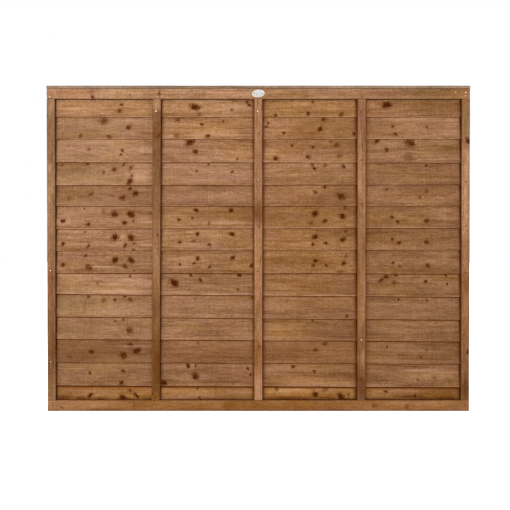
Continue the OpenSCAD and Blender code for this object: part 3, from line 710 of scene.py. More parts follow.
def timber(name, bar, rng, cut, tone, marks, edges, nails=(), edge_wear_and_light=EDGE_WEAR_AND_SHADE):
    """A sawn bar. Its section is a rectangle with rounded corners, carried along the bar's
    line. Every stray goes inwards: the two narrow sides by a smooth random line that fades
    across the face, the faces by a slow swell and by a dimple round each nail, the corners by
    a rounding that grows and shrinks, the ends by a slightly slanting cut."""
    look = looks()
    knots, stains, tints = marks
    crowd = [mark[0] for mark in (*knots, *nails)]
    stops = stations(bar.length, cut.step, crowd)
    side_a, side_b, turn_a, turn_b = section_loop(cut.rows, cut.side_rows, cut.turns)
    x = stops[:, None]
    radius = cut.ease * (LEAST_EASE + waves(rng, x, EASE_WAVES, MORE_EASE))
    across = side_a * (bar.width / 2 - radius) + turn_a * radius
    depth = side_b * (bar.depth / 2 - radius) + turn_b * radius
    for end in (-1, 1):
        line = waves(rng, x, EDGE_WAVES, cut.stray * look.edge_wander)
        fade = np.clip(1 - (bar.width / 2 - end * across) / EDGE_FADE, 0, 1)
        across = across - end * line * fade
    swell = waves(rng, x + SWELL_LEAN * across, FACE_WAVES, look.face_wander) + FACE_MARGIN
    hit = np.full(depth.shape, WELL_AWAY)
    for place, offset in nails:
        hit = np.minimum(hit, np.sqrt((x - place) ** 2 + (across - offset) ** 2))
    crush = look.dimple * np.exp(-(hit / DIMPLE_REACH) ** 2) * (side_b > FLAT)
    depth = depth - side_b * (swell + crush)
    slant = waves(rng, across + 0 * x, SLANT_WAVES, END_SLANT)
    from_middle = 2 * x / bar.length - 1
    along = x - from_middle ** END_POWER * slant
    points = (bar.start + along[..., None] * bar.along + across[..., None] * bar.across
              + depth[..., None] * bar.out)

    near, dark, pushed = knot_field(rng, along, across, knots)
    flowing = across + pushed
    stain_and_shade = stain_field(along, across, stains)
    lighter, pinker, more_golden = tint_field(along, across, tints)
    light, pink, golden, end_lighter = tone
    light = light * (1 + end_lighter * from_middle) * (1 + lighter)
    cover, foot, nook_shade = edges(Skin(points, across, depth, side_b > 0, abs(turn_a) > FLAT))
    foot = np.maximum(foot, bar.depth / 2 - abs(depth))
    shift, shape = rng.uniform(0, PATTERN_SPAN, 3), along.shape
    attributes = {
        "grain": stacked(shape, along + shift[0], flowing + shift[1], depth + shift[2]),
        "ring": growth_rings(rng, along, flowing, depth, bar.width).ravel(),
        "knot": stacked(shape, near, dark, stain_and_shade),
        "edge": stacked(shape, cover, foot / edge_wear_and_light, hit),
        "nook_shade": nook_shade.ravel(),
        "tone": stacked(shape, light, pink + pinker, golden + more_golden),
    }
    faces = section_faces(len(side_a), len(stops), cut.rows)
    return mesh_piece(name, points.reshape(-1, 3), faces, attributes)


# Shader nodes

# Noise of the wood: scale along the grain, across it and into it, detail and roughness
BEND = ((3.2, 26, 26), 3.0, 0.55)
FINE_BEND = ((22, 240, 240), 2.0, 0.5)
FINE_FIBRES = ((12, 800, 800), 4.0, 0.7)
COARSE_FIBRES = ((1.4, 165, 165), 4.0, 0.7)
SAW_MARKS = ((230, 11, 11), 2.0, 0.6)
KNOT_RIM = ((140, 170, 170), 4.0, 0.7)
KNOT_GAPS = ((130, 160, 160), 3.0, 0.6)

# Noise of the weathering, with the values between which its mask rises. The hue and the grit
# are read at another place than the rest, so that they don't follow it.
WEATHERING = {
    "Drift": ((2.6, 11, 11), 2.0, 0.5, 0.3, 0.7),
    "Hue": ((4.5, 16, 16), 3.0, 0.55, 0.32, 0.68),
    "Patch": ((7, 42, 42), 3.0, 0.6, 0.35, 0.68),
    "Mottle": ((34, 130, 130), 3.0, 0.65, 0.33, 0.67),
    "Speck": ((80, 240, 240), 4.0, 0.7, 0.35, 0.68),
    "Grit": ((190, 190, 190), 1.0, 0.5, 0.3, 0.7),
}
ELSEWHERE = (7.3, 2.9, 5.1)

# Screen colours that the wood is drawn to by its tone and its weathering
PINK_WOOD = (0.50, 0.33, 0.25)
GOLDEN_WOOD = (0.54, 0.356, 0.17)
OLIVE_WOOD = (0.47, 0.375, 0.235)
ROSY_STRETCH = (0.50, 0.335, 0.245)
YELLOW_STRETCH = (0.51, 0.36, 0.195)
PALE_PATCH = (0.575, 0.41, 0.275)
DARK_SPECK = (0.30, 0.18, 0.09)
KNOT_HALO = (0.37, 0.21, 0.08)
RUSTY_WOOD = (0.27, 0.16, 0.09)

# Middling wood and the power by which each channel of the colour departs from it
MIDDLING_WOOD = (0.45, 0.32, 0.21)
DEEPENING = (1.0, 1.22, 1.58)

# Edges of the boards, worn and paler with a painted highlight; of the uprights and rails, darker
# with painted shade; and of the capping strip, worn
BOARD_EDGE_HIGHLIGHT = (0.64, 0.49, 0.37)
FRAME_EDGE_SHADE = (0.34, 0.26, 0.19)
CAPPING_EDGE = (0.40, 0.36, 0.32)

BARE_STEEL_SPECK = (0.34, 0.24, 0.18)
TACK_STEEL = (0.33, 0.31, 0.30)
TAG_GRIME = (0.52, 0.47, 0.40)


def add(tree, kind, inputs=(), **settings):
    """Adds a node, with its settings and its inputs by name or number. An input is a number, a
    colour or another node's output."""
    made = tree.nodes.new(kind)
    for key, value in settings.items():
        setattr(made, key, value)
    for key, value in dict(inputs).items():
        if isinstance(value, bpy.types.NodeSocket):
            tree.links.new(value, made.inputs[key])
        else:
            made.inputs[key].default_value = value
    return made


def calc(tree, operation, a, b=0.0, clamp=False):
    return add(tree, "ShaderNodeMath", {0: a, 1: b}, operation=operation, use_clamp=clamp).outputs[0]


def times(tree, *values):
    """The product of several values."""
    return reduce(lambda a, b: calc(tree, "MULTIPLY", a, b), values)


def plus(tree, *values):
    """The sum of several values."""
    return reduce(lambda a, b: calc(tree, "ADD", a, b), values)


def blend(tree, factor, a, b, way="MIX"):
    """Colour a, with b mixed in by factor."""
    settings = {"data_type": "RGBA", "blend_type": way, "clamp_factor": True}
    return add(tree, "ShaderNodeMix", {0: factor, 6: a, 7: b}, **settings).outputs[2]


def layered(tree, colour, *layers):
    """A colour with layers over it, each a mask and the screen colour that it lets through."""
    for mask, over in layers:
        colour = blend(tree, mask, colour, linear(over))
    return colour


def rise(tree, value, low, high, to_low=0.0, to_high=1.0):
    """A smooth step from to_low where value is low to to_high where it is high."""
    inputs = {"Value": value, "From Min": low, "From Max": high, "To Min": to_low, "To Max": to_high}
    return add(tree, "ShaderNodeMapRange", inputs, interpolation_type="SMOOTHSTEP").outputs[0]


def read(tree, attribute):
    """The piece's own number of that name."""
    return add(tree, "ShaderNodeAttribute", attribute_name=attribute).outputs["Fac"]


def noise(tree, place, scale, detail, rough):
    """Noise from about 0.3 to 0.7, with its own scale along each axis."""
    scaled = add(tree, "ShaderNodeMapping", {"Vector": place, "Scale": scale}).outputs[0]
    inputs = {"Vector": scaled, "Scale": 1.0, "Detail": detail, "Roughness": rough}
    return add(tree, "ShaderNodeTexNoise", inputs, noise_dimensions="3D").outputs[0]


def even_noise(tree, scale, detail, rough):
    """Noise of the same scale in every direction, on a piece's own coordinates."""
    place = add(tree, "ShaderNodeTexCoord").outputs["Object"]
    return noise(tree, place, (scale, scale, scale), detail, rough)


def bumped(tree, surface, height, strength, distance):
    """Gives a shader the bumps of a height."""
    bump = add(tree, "ShaderNodeBump", {"Height": height, "Strength": strength, "Distance": distance})
    tree.links.new(bump.outputs[0], surface.inputs["Normal"])


def new_group(name, takes, gives):
    """An empty node group with its named inputs and outputs. Returns the group, the sockets
    that its inputs come from and the node that its outputs go to."""
    tree = bpy.data.node_groups.new(name, "ShaderNodeTree")
    kinds = {"value": "NodeSocketFloat", "colour": "NodeSocketColor", "place": "NodeSocketVector"}
    for title, kind in takes.items():
        tree.interface.new_socket(title, in_out="INPUT", socket_type=kinds[kind])
    for title, kind in gives.items():
        tree.interface.new_socket(title, in_out="OUTPUT", socket_type=kinds[kind])
    return tree, tree.nodes.new("NodeGroupInput").outputs, tree.nodes.new("NodeGroupOutput").inputs


def figure_group():
    """Figure of sawn softwood. The ring number, bent by noise, gives a dark line at the end of
    each year, with its own strength for each ring; fibres are noise drawn out along the grain;
    saw marks are close ridges across it."""
    titles = ("Late", "Band", "Fibre", "Saw", "Height")
    tree, take, give = new_group(
        "wood figure", {"Grain": "place", "Ring": "value"}, dict.fromkeys(titles, "value"))
    place = take["Grain"]
    bend = times(tree, noise(tree, place, *BEND), 3.4)
    fine_bend = times(tree, noise(tree, place, *FINE_BEND), 0.55)
    ring = plus(tree, take["Ring"], bend, fine_bend)
    year = calc(tree, "FLOOR", ring)
    within = calc(tree, "SUBTRACT", ring, year)
    chance = add(tree, "ShaderNodeTexWhiteNoise", {"W": year}, noise_dimensions="1D").outputs[0]
    late = times(tree, rise(tree, within, 0.35, 0.88), rise(tree, within, 1.0, 0.93),
                 rise(tree, chance, 0.0, 1.0, 0.35, 1.0))
    inputs = {"W": times(tree, ring, 0.37), "Scale": 1.0, "Detail": 2.0}
    band = add(tree, "ShaderNodeTexNoise", inputs, noise_dimensions="1D").outputs[0]
    fibre = plus(tree, times(tree, noise(tree, place, *FINE_FIBRES), 0.45),
                 times(tree, noise(tree, place, *COARSE_FIBRES), 0.55))
    saw = noise(tree, place, *SAW_MARKS)
    height = plus(tree, times(tree, fibre, 0.9), times(tree, saw, 0.45), times(tree, late, 0.25))
    for title, value in zip(titles, (late, rise(tree, band, 0.3, 0.7), fibre, saw, height)):
        tree.links.new(value, give[title])
    return tree


def knot_group():
    """Knots, from the distance to a knot in its radii, made ragged by noise: the knot itself,
    its nearly black core and broken rim, the dark halo in the wood beside it and the knot's
    own rings."""
    titles = ("Knot", "Core", "Halo", "Height")
    tree, take, give = new_group(
        "wood knots", {"Grain": "place", "Distance": "value", "Darkness": "value"},
        dict.fromkeys(titles, "value"))
    darkness = take["Darkness"]
    ragged = calc(tree, "SUBTRACT", noise(tree, take["Grain"], *KNOT_RIM), 0.5)
    distance = plus(tree, take["Distance"], times(tree, ragged, 3.6))
    gaps = rise(tree, noise(tree, take["Grain"], *KNOT_GAPS), 0.42, 0.56, 0.1, 1.0)
    uneven = calc(tree, "MAXIMUM", gaps, rise(tree, darkness, 0.65, 1.0))
    inside = times(tree, rise(tree, distance, 1.25, 0.75), rise(tree, darkness, 0.0, 0.9, 0.2, 1.0))
    core = times(tree, rise(tree, distance, 1.0, 0.7), rise(tree, darkness, 0.25, 0.9), uneven)
    rim = times(tree, rise(tree, distance, 0.95, 1.15), rise(tree, distance, 1.5, 1.25),
                uneven, darkness)
    halo = times(tree, rise(tree, distance, 2.6, 0.9), rise(tree, darkness, 0.0, 1.0, 0.15, 0.55))
    own_ring = calc(tree, "SINE", times(tree, distance, 16.0))
    height = calc(tree, "SUBTRACT", times(tree, own_ring, 0.3, inside), times(tree, rim, 0.9))
    core = calc(tree, "MAXIMUM", core, times(tree, rim, 0.7))
    for title, value in zip(titles, (inside, core, halo, height)):
        tree.links.new(value, give[title])
    return tree


def weather_group():
    """Change of tone over a timber, from noise at several sizes: light and dark drifts along
    the grain, pinker and more golden stretches, patches where the treatment took more or less,
    mottling, specks and the fine grit of a sawn face."""
    tree, take, give = new_group("weathering", {"Grain": "place"}, dict.fromkeys(WEATHERING, "value"))
    grain = take["Grain"]
    moved = add(tree, "ShaderNodeVectorMath", {0: grain, 1: ELSEWHERE}, operation="ADD").outputs[0]
    for title, (scale, detail, rough, low, high) in WEATHERING.items():
        place = moved if title in ("Hue", "Grit") else grain
        tree.links.new(rise(tree, noise(tree, place, scale, detail, rough), low, high), give[title])
    return tree


def deep_group():
    """Darker wood is redder and lighter wood is paler: each channel, as a share of middling
    wood's, is raised to its own power, 1 for red, more for green and most for blue."""
    tree, take, give = new_group("deep tones", {"Colour": "colour"}, {"Colour": "colour"})
    parts = add(tree, "ShaderNodeSeparateColor", {0: take["Colour"]}).outputs
    deeper = []
    for part, middling, power in zip(parts, linear(MIDDLING_WOOD), DEEPENING):
        share = times(tree, part, 1 / middling)
        deeper.append(times(tree, calc(tree, "POWER", share, power), middling))
    joined = add(tree, "ShaderNodeCombineColor", dict(enumerate(deeper))).outputs[0]
    tree.links.new(joined, give["Colour"])
    return tree


GROUPS = {}


def place_group(tree, name, build, **inputs):
    """Places a shared node group in a material, building it the first time."""
    if name not in GROUPS:
        GROUPS[name] = build()
    made = tree.nodes.new("ShaderNodeGroup")
    made.node_tree = GROUPS[name]
    for key, value in inputs.items():
        tree.links.new(value, made.inputs[key])
    return made.outputs


def split(tree, attribute):
    """The three numbers of a vector attribute."""
    vector = add(tree, "ShaderNodeAttribute", attribute_name=attribute).outputs["Vector"]
    return add(tree, "ShaderNodeSeparateXYZ", {0: vector}).outputs


def new_material(name, **shader):
    """A material with one Principled shader, whose plain values are set on its own sockets."""
    made = bpy.data.materials.new(name)
    made.use_nodes = True
    tree = made.node_tree
    tree.nodes.clear()
    plain = {key.replace("_", " "): value for key, value in shader.items()}
    surface = add(tree, "ShaderNodeBsdfPrincipled", plain)
    out = tree.nodes.new("ShaderNodeOutputMaterial")
    tree.links.new(surface.outputs[0], out.inputs["Surface"])
    return made, tree, surface


def bare_wood(tree, early, late, figure, weather):
    """Colour of the wood without its marks. Early wood darkens to late wood by rings and
    fibres, is drawn to pink, gold or olive by the timber's own tone, changed by the weather,
    and made lighter or darker."""
    light, pink, gold = split(tree, "tone")
    share = plus(tree, times(tree, figure["Late"], 0.55),
                 rise(tree, figure["Fibre"], 0.39, 0.61, -0.28, 0.51),
                 rise(tree, figure["Band"], 0.0, 1.0, -0.26, 0.34))
    colour = layered(
        tree, linear(early),
        (share, late),
        (times(tree, pink, 0.45), PINK_WOOD),
        (calc(tree, "MULTIPLY", gold, 0.5, True), GOLDEN_WOOD),
        (calc(tree, "MULTIPLY", gold, -0.5, True), OLIVE_WOOD),
        (rise(tree, weather["Hue"], 0.55, 1.0, 0.0, 0.28), ROSY_STRETCH),
        (rise(tree, weather["Hue"], 0.45, 0.0, 0.0, 0.28), YELLOW_STRETCH),
        (rise(tree, weather["Patch"], 0.0, 1.0, 0.0, 0.34), PALE_PATCH),
        (rise(tree, weather["Speck"], 0.5, 1.0, 0.0, 0.3), DARK_SPECK))
    shade = times(tree, light,
                  rise(tree, figure["Saw"], 0.35, 0.65, 0.945, 1.055),
                  rise(tree, weather["Mottle"], 0.0, 1.0, 0.905, 1.095),
                  rise(tree, weather["Grit"], 0.0, 1.0, 0.895, 1.105),
                  rise(tree, weather["Drift"], 0.0, 1.0, 1.135, 0.86))
    grey = add(tree, "ShaderNodeCombineColor", {0: shade, 1: shade, 2: shade}).outputs[0]
    colour = blend(tree, 1.0, colour, grey, "MULTIPLY")
    return place_group(tree, "deep tones", deep_group, Colour=colour)[0]


def marked_wood(tree, colour, knots, weather, stain_and_shade, edge, edge_wear_and_light):
    """The wood's colour under its marks: free edges, worn, with a painted highlight on the boards and
    painted shade on the uprights and rails, knots, stains, painted shade under a lap and beside an
    upright, and rusty wood round a nail."""
    look = looks()
    cover, foot, hit = split(tree, "edge")
    nook_shade = read(tree, "nook_shade")
    patchy = rise(tree, weather["Patch"], 0.1, 0.7, 0.25, 1.0)
    rag = rise(tree, weather["Speck"], 0.0, 0.8, 0.6, 1.0)
    paler = calc(tree, "MULTIPLY", stain_and_shade, -1.0, True)
    return layered(
        tree, colour,
        # Board feet: wear and a painted highlight. Upright and rail edges: painted shade.
        (times(tree, rise(tree, foot, 1.0, 0.15), patchy, edge_wear_and_light), edge),
        (times(tree, knots["Halo"], 0.75), KNOT_HALO),
        (knots["Knot"], look.knot_wood),
        (knots["Core"], look.bark_and_shade),
        # Stains; those just above a lap or the bottom rail are painted shade.
        (times(tree, stain_and_shade, rag), look.pitch),
        (times(tree, paler, rag), look.pale_wood),
        # Painted shade under a lap, under the capping strip, on narrow sides and beside an upright.
        (times(tree, rise(tree, cover, 1.0, 0.35), 0.75), look.shaded_wood),
        (times(tree, rise(tree, cover, 0.55, 0.2), 0.92), look.bark_and_shade),
        (times(tree, rise(tree, nook_shade, 1.0, 0.2), 0.85), look.shaded_wood),
        (times(tree, rise(tree, nook_shade, 0.35, 0.05), 0.8), look.bark_and_shade),
        (times(tree, rise(tree, hit, 7 * MM, 2.5 * MM), 0.4), RUSTY_WOOD))


def wood_material(name, early, late, edge, edge_wear_and_light, rough=0.78):
    """Sawn treated softwood: bare wood, its marks and painted shade, and the bumps of its fibres and knots.
    """
    material, tree, surface = new_material(name, Specular_IOR_Level=0.012)
    grain = add(tree, "ShaderNodeAttribute", attribute_name="grain").outputs["Vector"]
    near, dark, stain_and_shade = split(tree, "knot")
    figure = place_group(tree, "wood figure", figure_group, Grain=grain, Ring=read(tree, "ring"))
    knots = place_group(tree, "wood knots", knot_group, Grain=grain, Distance=near, Darkness=dark)
    weather = place_group(tree, "weathering", weather_group, Grain=grain)
    colour = bare_wood(tree, early, late, figure, weather)
    colour = marked_wood(tree, colour, knots, weather, stain_and_shade, edge, edge_wear_and_light)
    tree.links.new(colour, surface.inputs["Base Color"])
    roughness = rise(tree, figure["Fibre"], 0.3, 0.7, rough - 0.08, rough + 0.12)
    tree.links.new(roughness, surface.inputs["Roughness"])
    bumped(tree, surface, plus(tree, figure["Height"], knots["Height"]), 0.7, 1.1 * MM)
    return material


def steel_material(name, colour, rough):
    """Plated steel: its tone and its roughness change with fine noise, with darker specks where
    the plating has gone. The piece's own attribute tells how far a nail's head is coated by the
    wood's treatment, which hides the metal."""
    material, tree, surface = new_material(name, Specular_IOR_Level=0.2)
    cloud = rise(tree, even_noise(tree, 420, 3.0, 0.6), 0.35, 0.65)
    speck = rise(tree, even_noise(tree, 1300, 2.0, 0.6), 0.56, 0.7)
    coat = calc(tree, "MULTIPLY", read(tree, "coated"), rise(tree, cloud, 0.0, 1.0, 1.25, 1.0), True)
    tone = layered(
        tree, linear(colour),
        (cloud, [c * 0.84 for c in colour]),
        (times(tree, speck, 0.7), BARE_STEEL_SPECK),
        (coat, looks().coating))
    tree.links.new(tone, surface.inputs["Base Color"])
    bare = rise(tree, calc(tree, "MAXIMUM", speck, coat), 0.0, 1.0, 0.85, 0.1)
    tree.links.new(bare, surface.inputs["Metallic"])
    roughness = rise(tree, plus(tree, cloud, coat), 0.0, 2.0, rough, rough + 0.4)
    tree.links.new(roughness, surface.inputs["Roughness"])
    bumped(tree, surface, cloud, 0.3, 0.2 * MM)
    return material


def tag_material(name):
    """Moulded plastic: white on the rim, pale blue-grey on the field, which the piece's own
    attribute tells apart, with faint grime and a fine moulded grain."""
    look = looks()
    material, tree, surface = new_material(name, Specular_IOR_Level=0.5, Coat_Weight=0.15)
    grime = rise(tree, even_noise(tree, 90, 4.0, 0.65), 0.45, 0.72)
    colour = layered(
        tree, linear(look.tag_white),
        (rise(tree, read(tree, "field"), 0.35, 0.65), look.tag_field),
        (times(tree, grime, 0.28), TAG_GRIME))
    tree.links.new(colour, surface.inputs["Base Color"])
    tree.links.new(rise(tree, grime, 0.0, 1.0, 0.34, 0.6), surface.inputs["Roughness"])
    bumped(tree, surface, even_noise(tree, 2600, 2.0, 0.5), 0.15, 0.2 * MM)
    return material


def floor_material(name, colour, glow):
    """Pale studio floor with a barely seen cloudiness, which gives off a little light itself."""
    material, tree, surface = new_material(
        name, Roughness=0.9, Specular_IOR_Level=0.1, Emission_Color=(1, 1, 1, 1), Emission_Strength=glow)
    cloud = even_noise(tree, 1.5, 3.0, 0.5)
    tone = layered(tree, linear(colour), (cloud, [c * 0.985 for c in colour]))
    tree.links.new(tone, surface.inputs["Base Color"])
    return material


def shared(name, build, *arguments):
    """A material by name, built the first time that it is asked for."""
    return bpy.data.materials.get(name) or build(name, *arguments)


# Boards, uprights, rails and capping

X_WAY, Y_WAY, Z_WAY = np.eye(3)
FRONT = -Y_WAY

# Seeds of the random draws, each the first of its group of pieces
BOARD_SEED, UPRIGHT_SEED, RAIL_SEED, CAPPING_SEED = 100, 300, 500, 700
NAIL_SEED, CAPPING_NAIL_SEED, TACK_SEED = 800, 820, 840

# Radius of the eased corners, and the share of the edge wander
BOARD_EASE, BOARD_STRAY = 0.8 * MM, 1.0
FRAME_EASE, FRAME_STRAY = 1.1 * MM, 0.5
CAPPING_EASE, CAPPING_STRAY = 1.6 * MM, 0.4

CAPPING_TONE = (1.0, 0.0, 0.2, 0.0)
CAPPING_LATE_SHARE = 0.78    # how light its late wood is against its early wood
NARROW_COVER = 0.8           # what a board's narrow sides have as cover, so that they carry a little painted shade
LEAN_SHADE = 0.25            # how much nearer an upright the painted shade beside it keeps at a board's foot
ROOF_SHADE = 2 * MM          # how far the painted shade reaches down from the capping strip
HEAD_LEVEL = 0.05 * MM       # how nearly level the points of a nail's head are
HEAD_WIDTH = 7 * MM          # no two nail heads are closer than this


def nail_heads(node, axis, outer):
    """Middles of the nail heads of a node, whose faces lie at the given height on an axis. Points
    closer to the first of them than a head's width belong to one head."""
    points = cad_points(node)
    points = points[abs(points[:, axis] - outer) < HEAD_LEVEL]
    heads = []
    while len(points):
        near = np.linalg.norm(points - points[0], axis=1) < HEAD_WIDTH
        heads.append((points[near].min(0) + points[near].max(0)) / 2)
        points = points[~near]
    return np.array(heads)


def on_bar(bar, heads):
    """Nail heads as places along and across a bar."""
    offsets = heads - bar.start
    return list(zip(offsets @ bar.along, offsets @ bar.across))


def marks_on(bar, knots, stains, tints):
    """Knots, stains and tints of the photograph as real places and sizes on a bar."""
    def placed(marks, *units):
        if not marks:
            return []
        along, across = photo_places(bar, marks)
        return [(x, a, *np.multiply(mark[2:], units)) for x, a, mark in zip(along, across, marks)]

    px = METRES_PER_PX
    return placed(knots, KNOT_SPREAD * MM, 1), placed(stains, px, px, 1), placed(tints, px, px, 1, 1, 1)


def edge_line(bar, side):
    """A bar's lower or upper outer edge as the straight line of its height over x."""
    start = bar.start + side * bar.across * bar.width / 2
    slope = bar.along[2] / bar.along[0]
    return lambda x: start[2] + (x - start[0]) * slope


def level_line(height):
    """A level edge as a line of its height over x."""
    return lambda x: height + 0 * x


def upright_gap(bars, x, z):
    """How far points stand beside the nearest of some uprights, as a share of how far the painted
    shade reaches there. Negative is behind an upright."""
    gap = np.full(x.shape, FAR)
    for bar, (left, right) in zip(bars, UPRIGHT_SHADES):
        middle = bar.start[0] + (z - bar.start[2]) * bar.along[0] / bar.along[2]
        reach = np.where(x < middle, left, right) * MM
        gap = np.minimum(gap, (abs(x - middle) - bar.width / 2) / reach)
    return gap


def lap_edges(bar, above, below, fronts, backs, reach):
    """For a board's points: how far below the lap of the board above, as a share of how far the
    painted shade reaches there, how far from its own free edge, in metres, and how far beside an
    upright, as a share too. Its front shows below that lap. Its back shows above the board
    below. The board leans, so its upper part lies deeper and its painted shade reaches further
    from an upright."""
    own_foot, own_top = edge_line(bar, -1), edge_line(bar, 1)

    def measure(skin):
        x, z = skin.points[..., 0], skin.points[..., 2]
        cover = np.where(skin.front, above(x) - z, z - below(x))
        foot = np.where(skin.front, z - own_foot(x), own_top(x) - z)
        nook_shade = np.where(skin.front, upright_gap(fronts, x, z), upright_gap(backs, x, z))
        nook_shade = nook_shade + LEAN_SHADE * np.clip(cover / bar.width, 0, 1)
        cover = np.where(skin.narrow, NARROW_COVER, np.clip(cover / reach, -FAR, FAR))
        return cover, np.clip(foot, 0, WELL_AWAY), np.clip(nook_shade, -1, FAR)

    return measure


def open_edges(bar, outside=0, side_shade_reach=1.0, roofed=False):
    """The same for the points of an upright, a rail or the capping strip: how far below the
    capping strip, how far from the nearer long edge, and how far out from the boards, as a
    share of how far the painted shade reaches. Outside is 1 if the boards lie behind the timber,
    -1 if they lie in front of it and 0 if it doesn't touch them."""
    def measure(skin):
        cover = nook_shade = np.full(skin.across.shape, FAR)
        if roofed:
            cover = (bar.width / 2 - skin.across) / ROOF_SHADE
        if outside:
            nook_shade = (0.5 + outside * skin.depth / bar.depth) / side_shade_reach
        return cover, bar.width / 2 - abs(skin.across), nook_shade

    return measure


def make_boards():
    look = looks()
    cut = Cut(look.board_step, look.board_rows, 2, 1, BOARD_EASE, BOARD_STRAY)
    material = shared("lap board wood", wood_material, look.early_wood, look.late_wood, BOARD_EDGE_HIGHLIGHT, 0.5)
    bars = [bar_of(node, 0, Z_WAY, FRONT) for node in BOARDS]
    fronts, backs = ([bar_of(f"{name}_{face}", 2, X_WAY, FRONT) for name in UPRIGHTS]
                     for face in ("front", "back"))
    first_lap = level_line(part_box("top_rail_front")[0].z)
    last_lap = level_line(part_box("bottom_rail_back")[1].z)
    by_hand = zip(cycle(BOARD_TONES), cycle(BOARD_KNOTS), cycle(LAP_SHADES), cycle(FOOT_WEAR_HIGHLIGHTS))
    for i, (node, bar, (tone, knots, shade, edge_wear_and_light)) in enumerate(zip(BOARDS, bars, by_hand)):
        above = edge_line(bars[i - 1], -1) if i else first_lap
        below = edge_line(bars[i + 1], 1) if i + 1 < len(bars) else last_lap
        tints = ALL_BOARDS_TINTS + BOARD_TINTS.get(i + 1, [])
        marks = marks_on(bar, knots, BOARD_STAINS_AND_SHADES.get(i + 1, []), tints)
        edges = lap_edges(bar, above, below, fronts, backs, shade * MM)
        rng = np.random.default_rng(BOARD_SEED + i)
        piece = timber(node + "_sawn", bar, rng, cut, tone, marks, edges, edge_wear_and_light=edge_wear_and_light * MM)
        dress(piece, material, node)


def frame_wood(name):
    """The wood of the uprights and rails, whose edges carry painted shade and are darker than the boards'.
    """
    look = looks()
    return shared(name, wood_material, look.early_wood, look.late_wood, FRAME_EDGE_SHADE, 0.4)


def make_both_halves(name, lies, cut, seed, tone, marks, shade, material):
    """An upright's or a rail's front and back timbers, which have the same tone and marks. It
    lies along an axis with its wide way across. Its shade is how far the painted shade reaches on
    its narrow sides, and whether painted shade falls on it from the capping strip."""
    for back, face in enumerate(("front", "back")):
        node = f"{name}_{face}"
        bar = bar_of(node, *lies, FRONT)
        nails = [] if back else on_bar(bar, nail_heads(name + "_nails", 1, FRONT_Y))
        edges = open_edges(bar, -1 if back else 1, *shade)
        rng = np.random.default_rng(seed + back)
        piece = timber(node + "_sawn", bar, rng, cut, tone, marks_on(bar, *marks), edges, nails)
        dress(piece, material, node)


def make_uprights():
    look = looks()
    cut = Cut(look.frame_step, look.frame_rows, 5, 2, FRAME_EASE, FRAME_STRAY)
    for u, name in enumerate(UPRIGHTS):
        marks = UPRIGHT_KNOTS[u], UPRIGHT_STAINS[u], UPRIGHT_TINTS[u]
        make_both_halves(name, (2, X_WAY), cut, UPRIGHT_SEED + 10 * u, UPRIGHT_TONES[u], marks,
                         (UPRIGHT_SIDE_SHADES[u], False), frame_wood("batten wood"))


def make_rails():
    look = looks()
    cut = Cut(look.frame_step, look.frame_rows + 2, 5, 2, FRAME_EASE, FRAME_STRAY)
    for r, name in enumerate(RAILS):
        marks = RAIL_KNOTS[r], RAIL_STAINS[r], RAIL_TINTS[r]
        make_both_halves(name, (0, Z_WAY), cut, RAIL_SEED + 10 * r, RAIL_TONES[r], marks,
                         (RAIL_SIDE_SHADES[r], name == "top_rail"), frame_wood("rail wood"))


def make_capping():
    look = looks()
    bar = bar_of("capping_strip", 0, Y_WAY, Z_WAY)
    nails = on_bar(bar, nail_heads("capping_nails", 2, PANEL_H))
    late = [c * CAPPING_LATE_SHARE for c in look.weathered]
    material = shared("capping wood", wood_material, look.weathered, late, CAPPING_EDGE, 0.5, 0.85)
    cut = Cut(look.frame_step, look.frame_rows + 4, 5, 2, CAPPING_EASE, CAPPING_STRAY)
    rng = np.random.default_rng(CAPPING_SEED)
    no_marks = [], [], []
    piece = timber("capping_strip_sawn", bar, rng, cut, CAPPING_TONE, no_marks, open_edges(bar), nails)
    dress(piece, material, "capping_strip")


# Nails, tacks and tag

# Radius of the shank, radius of the head and thickness of the head
NAIL = (1.3 * MM, 2.8 * MM, 1.0 * MM)
TACK = (0.9 * MM, 2.2 * MM, 0.6 * MM)
NAIL_POINT = 4 * MM
TACK_DOME = 0.2 * MM
CAPPING_NAIL_LENGTH = 34 * MM
CAPPING_NAIL_DOME = 0.35 * MM
CAPPING_NAIL_SINK = 0.4 * MM
NAIL_LEAN = 0.012
NAIL_AROUND, TACK_AROUND = 18, 20

# How far the nails' heads are coated, and how many pixels from its place in the table a bright
# head may be
COATED = (0.92, 1.0)
CAPPING_COATED = (0.3, 0.9)
BRIGHT_REACH_PX = 5


def turned(profile, around):
    """Points and faces of a closed turned shape. The profile's points, each a radius and a depth,
    are carried once round the depth axis. Its first and last points are the two poles."""
    profile = np.array(profile)
    angle = np.linspace(0, 2 * np.pi, around, endpoint=False)
    rings = profile[1:-1]
    body = np.stack([rings[:, :1] * np.cos(angle), rings[:, :1] * np.sin(angle),
                     rings[:, 1:] + 0 * angle], -1).reshape(-1, 3)
    points = np.concatenate([body, [[0, 0, profile[0, 1]], [0, 0, profile[-1, 1]]]])
    return points, ring_quads(len(rings), around) + pole_fans(len(rings), around)


def nail_profile(length, sizes, dome):
    """Radius and depth along a round nail: a domed head, its rim, the neck, the shank and the
    point."""
    shank, head, thick = sizes
    return [(0, -dome), (0.45 * head, -0.86 * dome), (0.8 * head, -0.45 * dome), (0.96 * head, -0.1 * dome),
            (head, 0.15 * thick), (head, 0.6 * thick), (0.9 * head, 0.85 * thick), (1.5 * shank, thick),
            (shank, 1.6 * thick), (shank, length - NAIL_POINT), (0.5 * shank, length - 0.4 * NAIL_POINT),
            (0, length)]


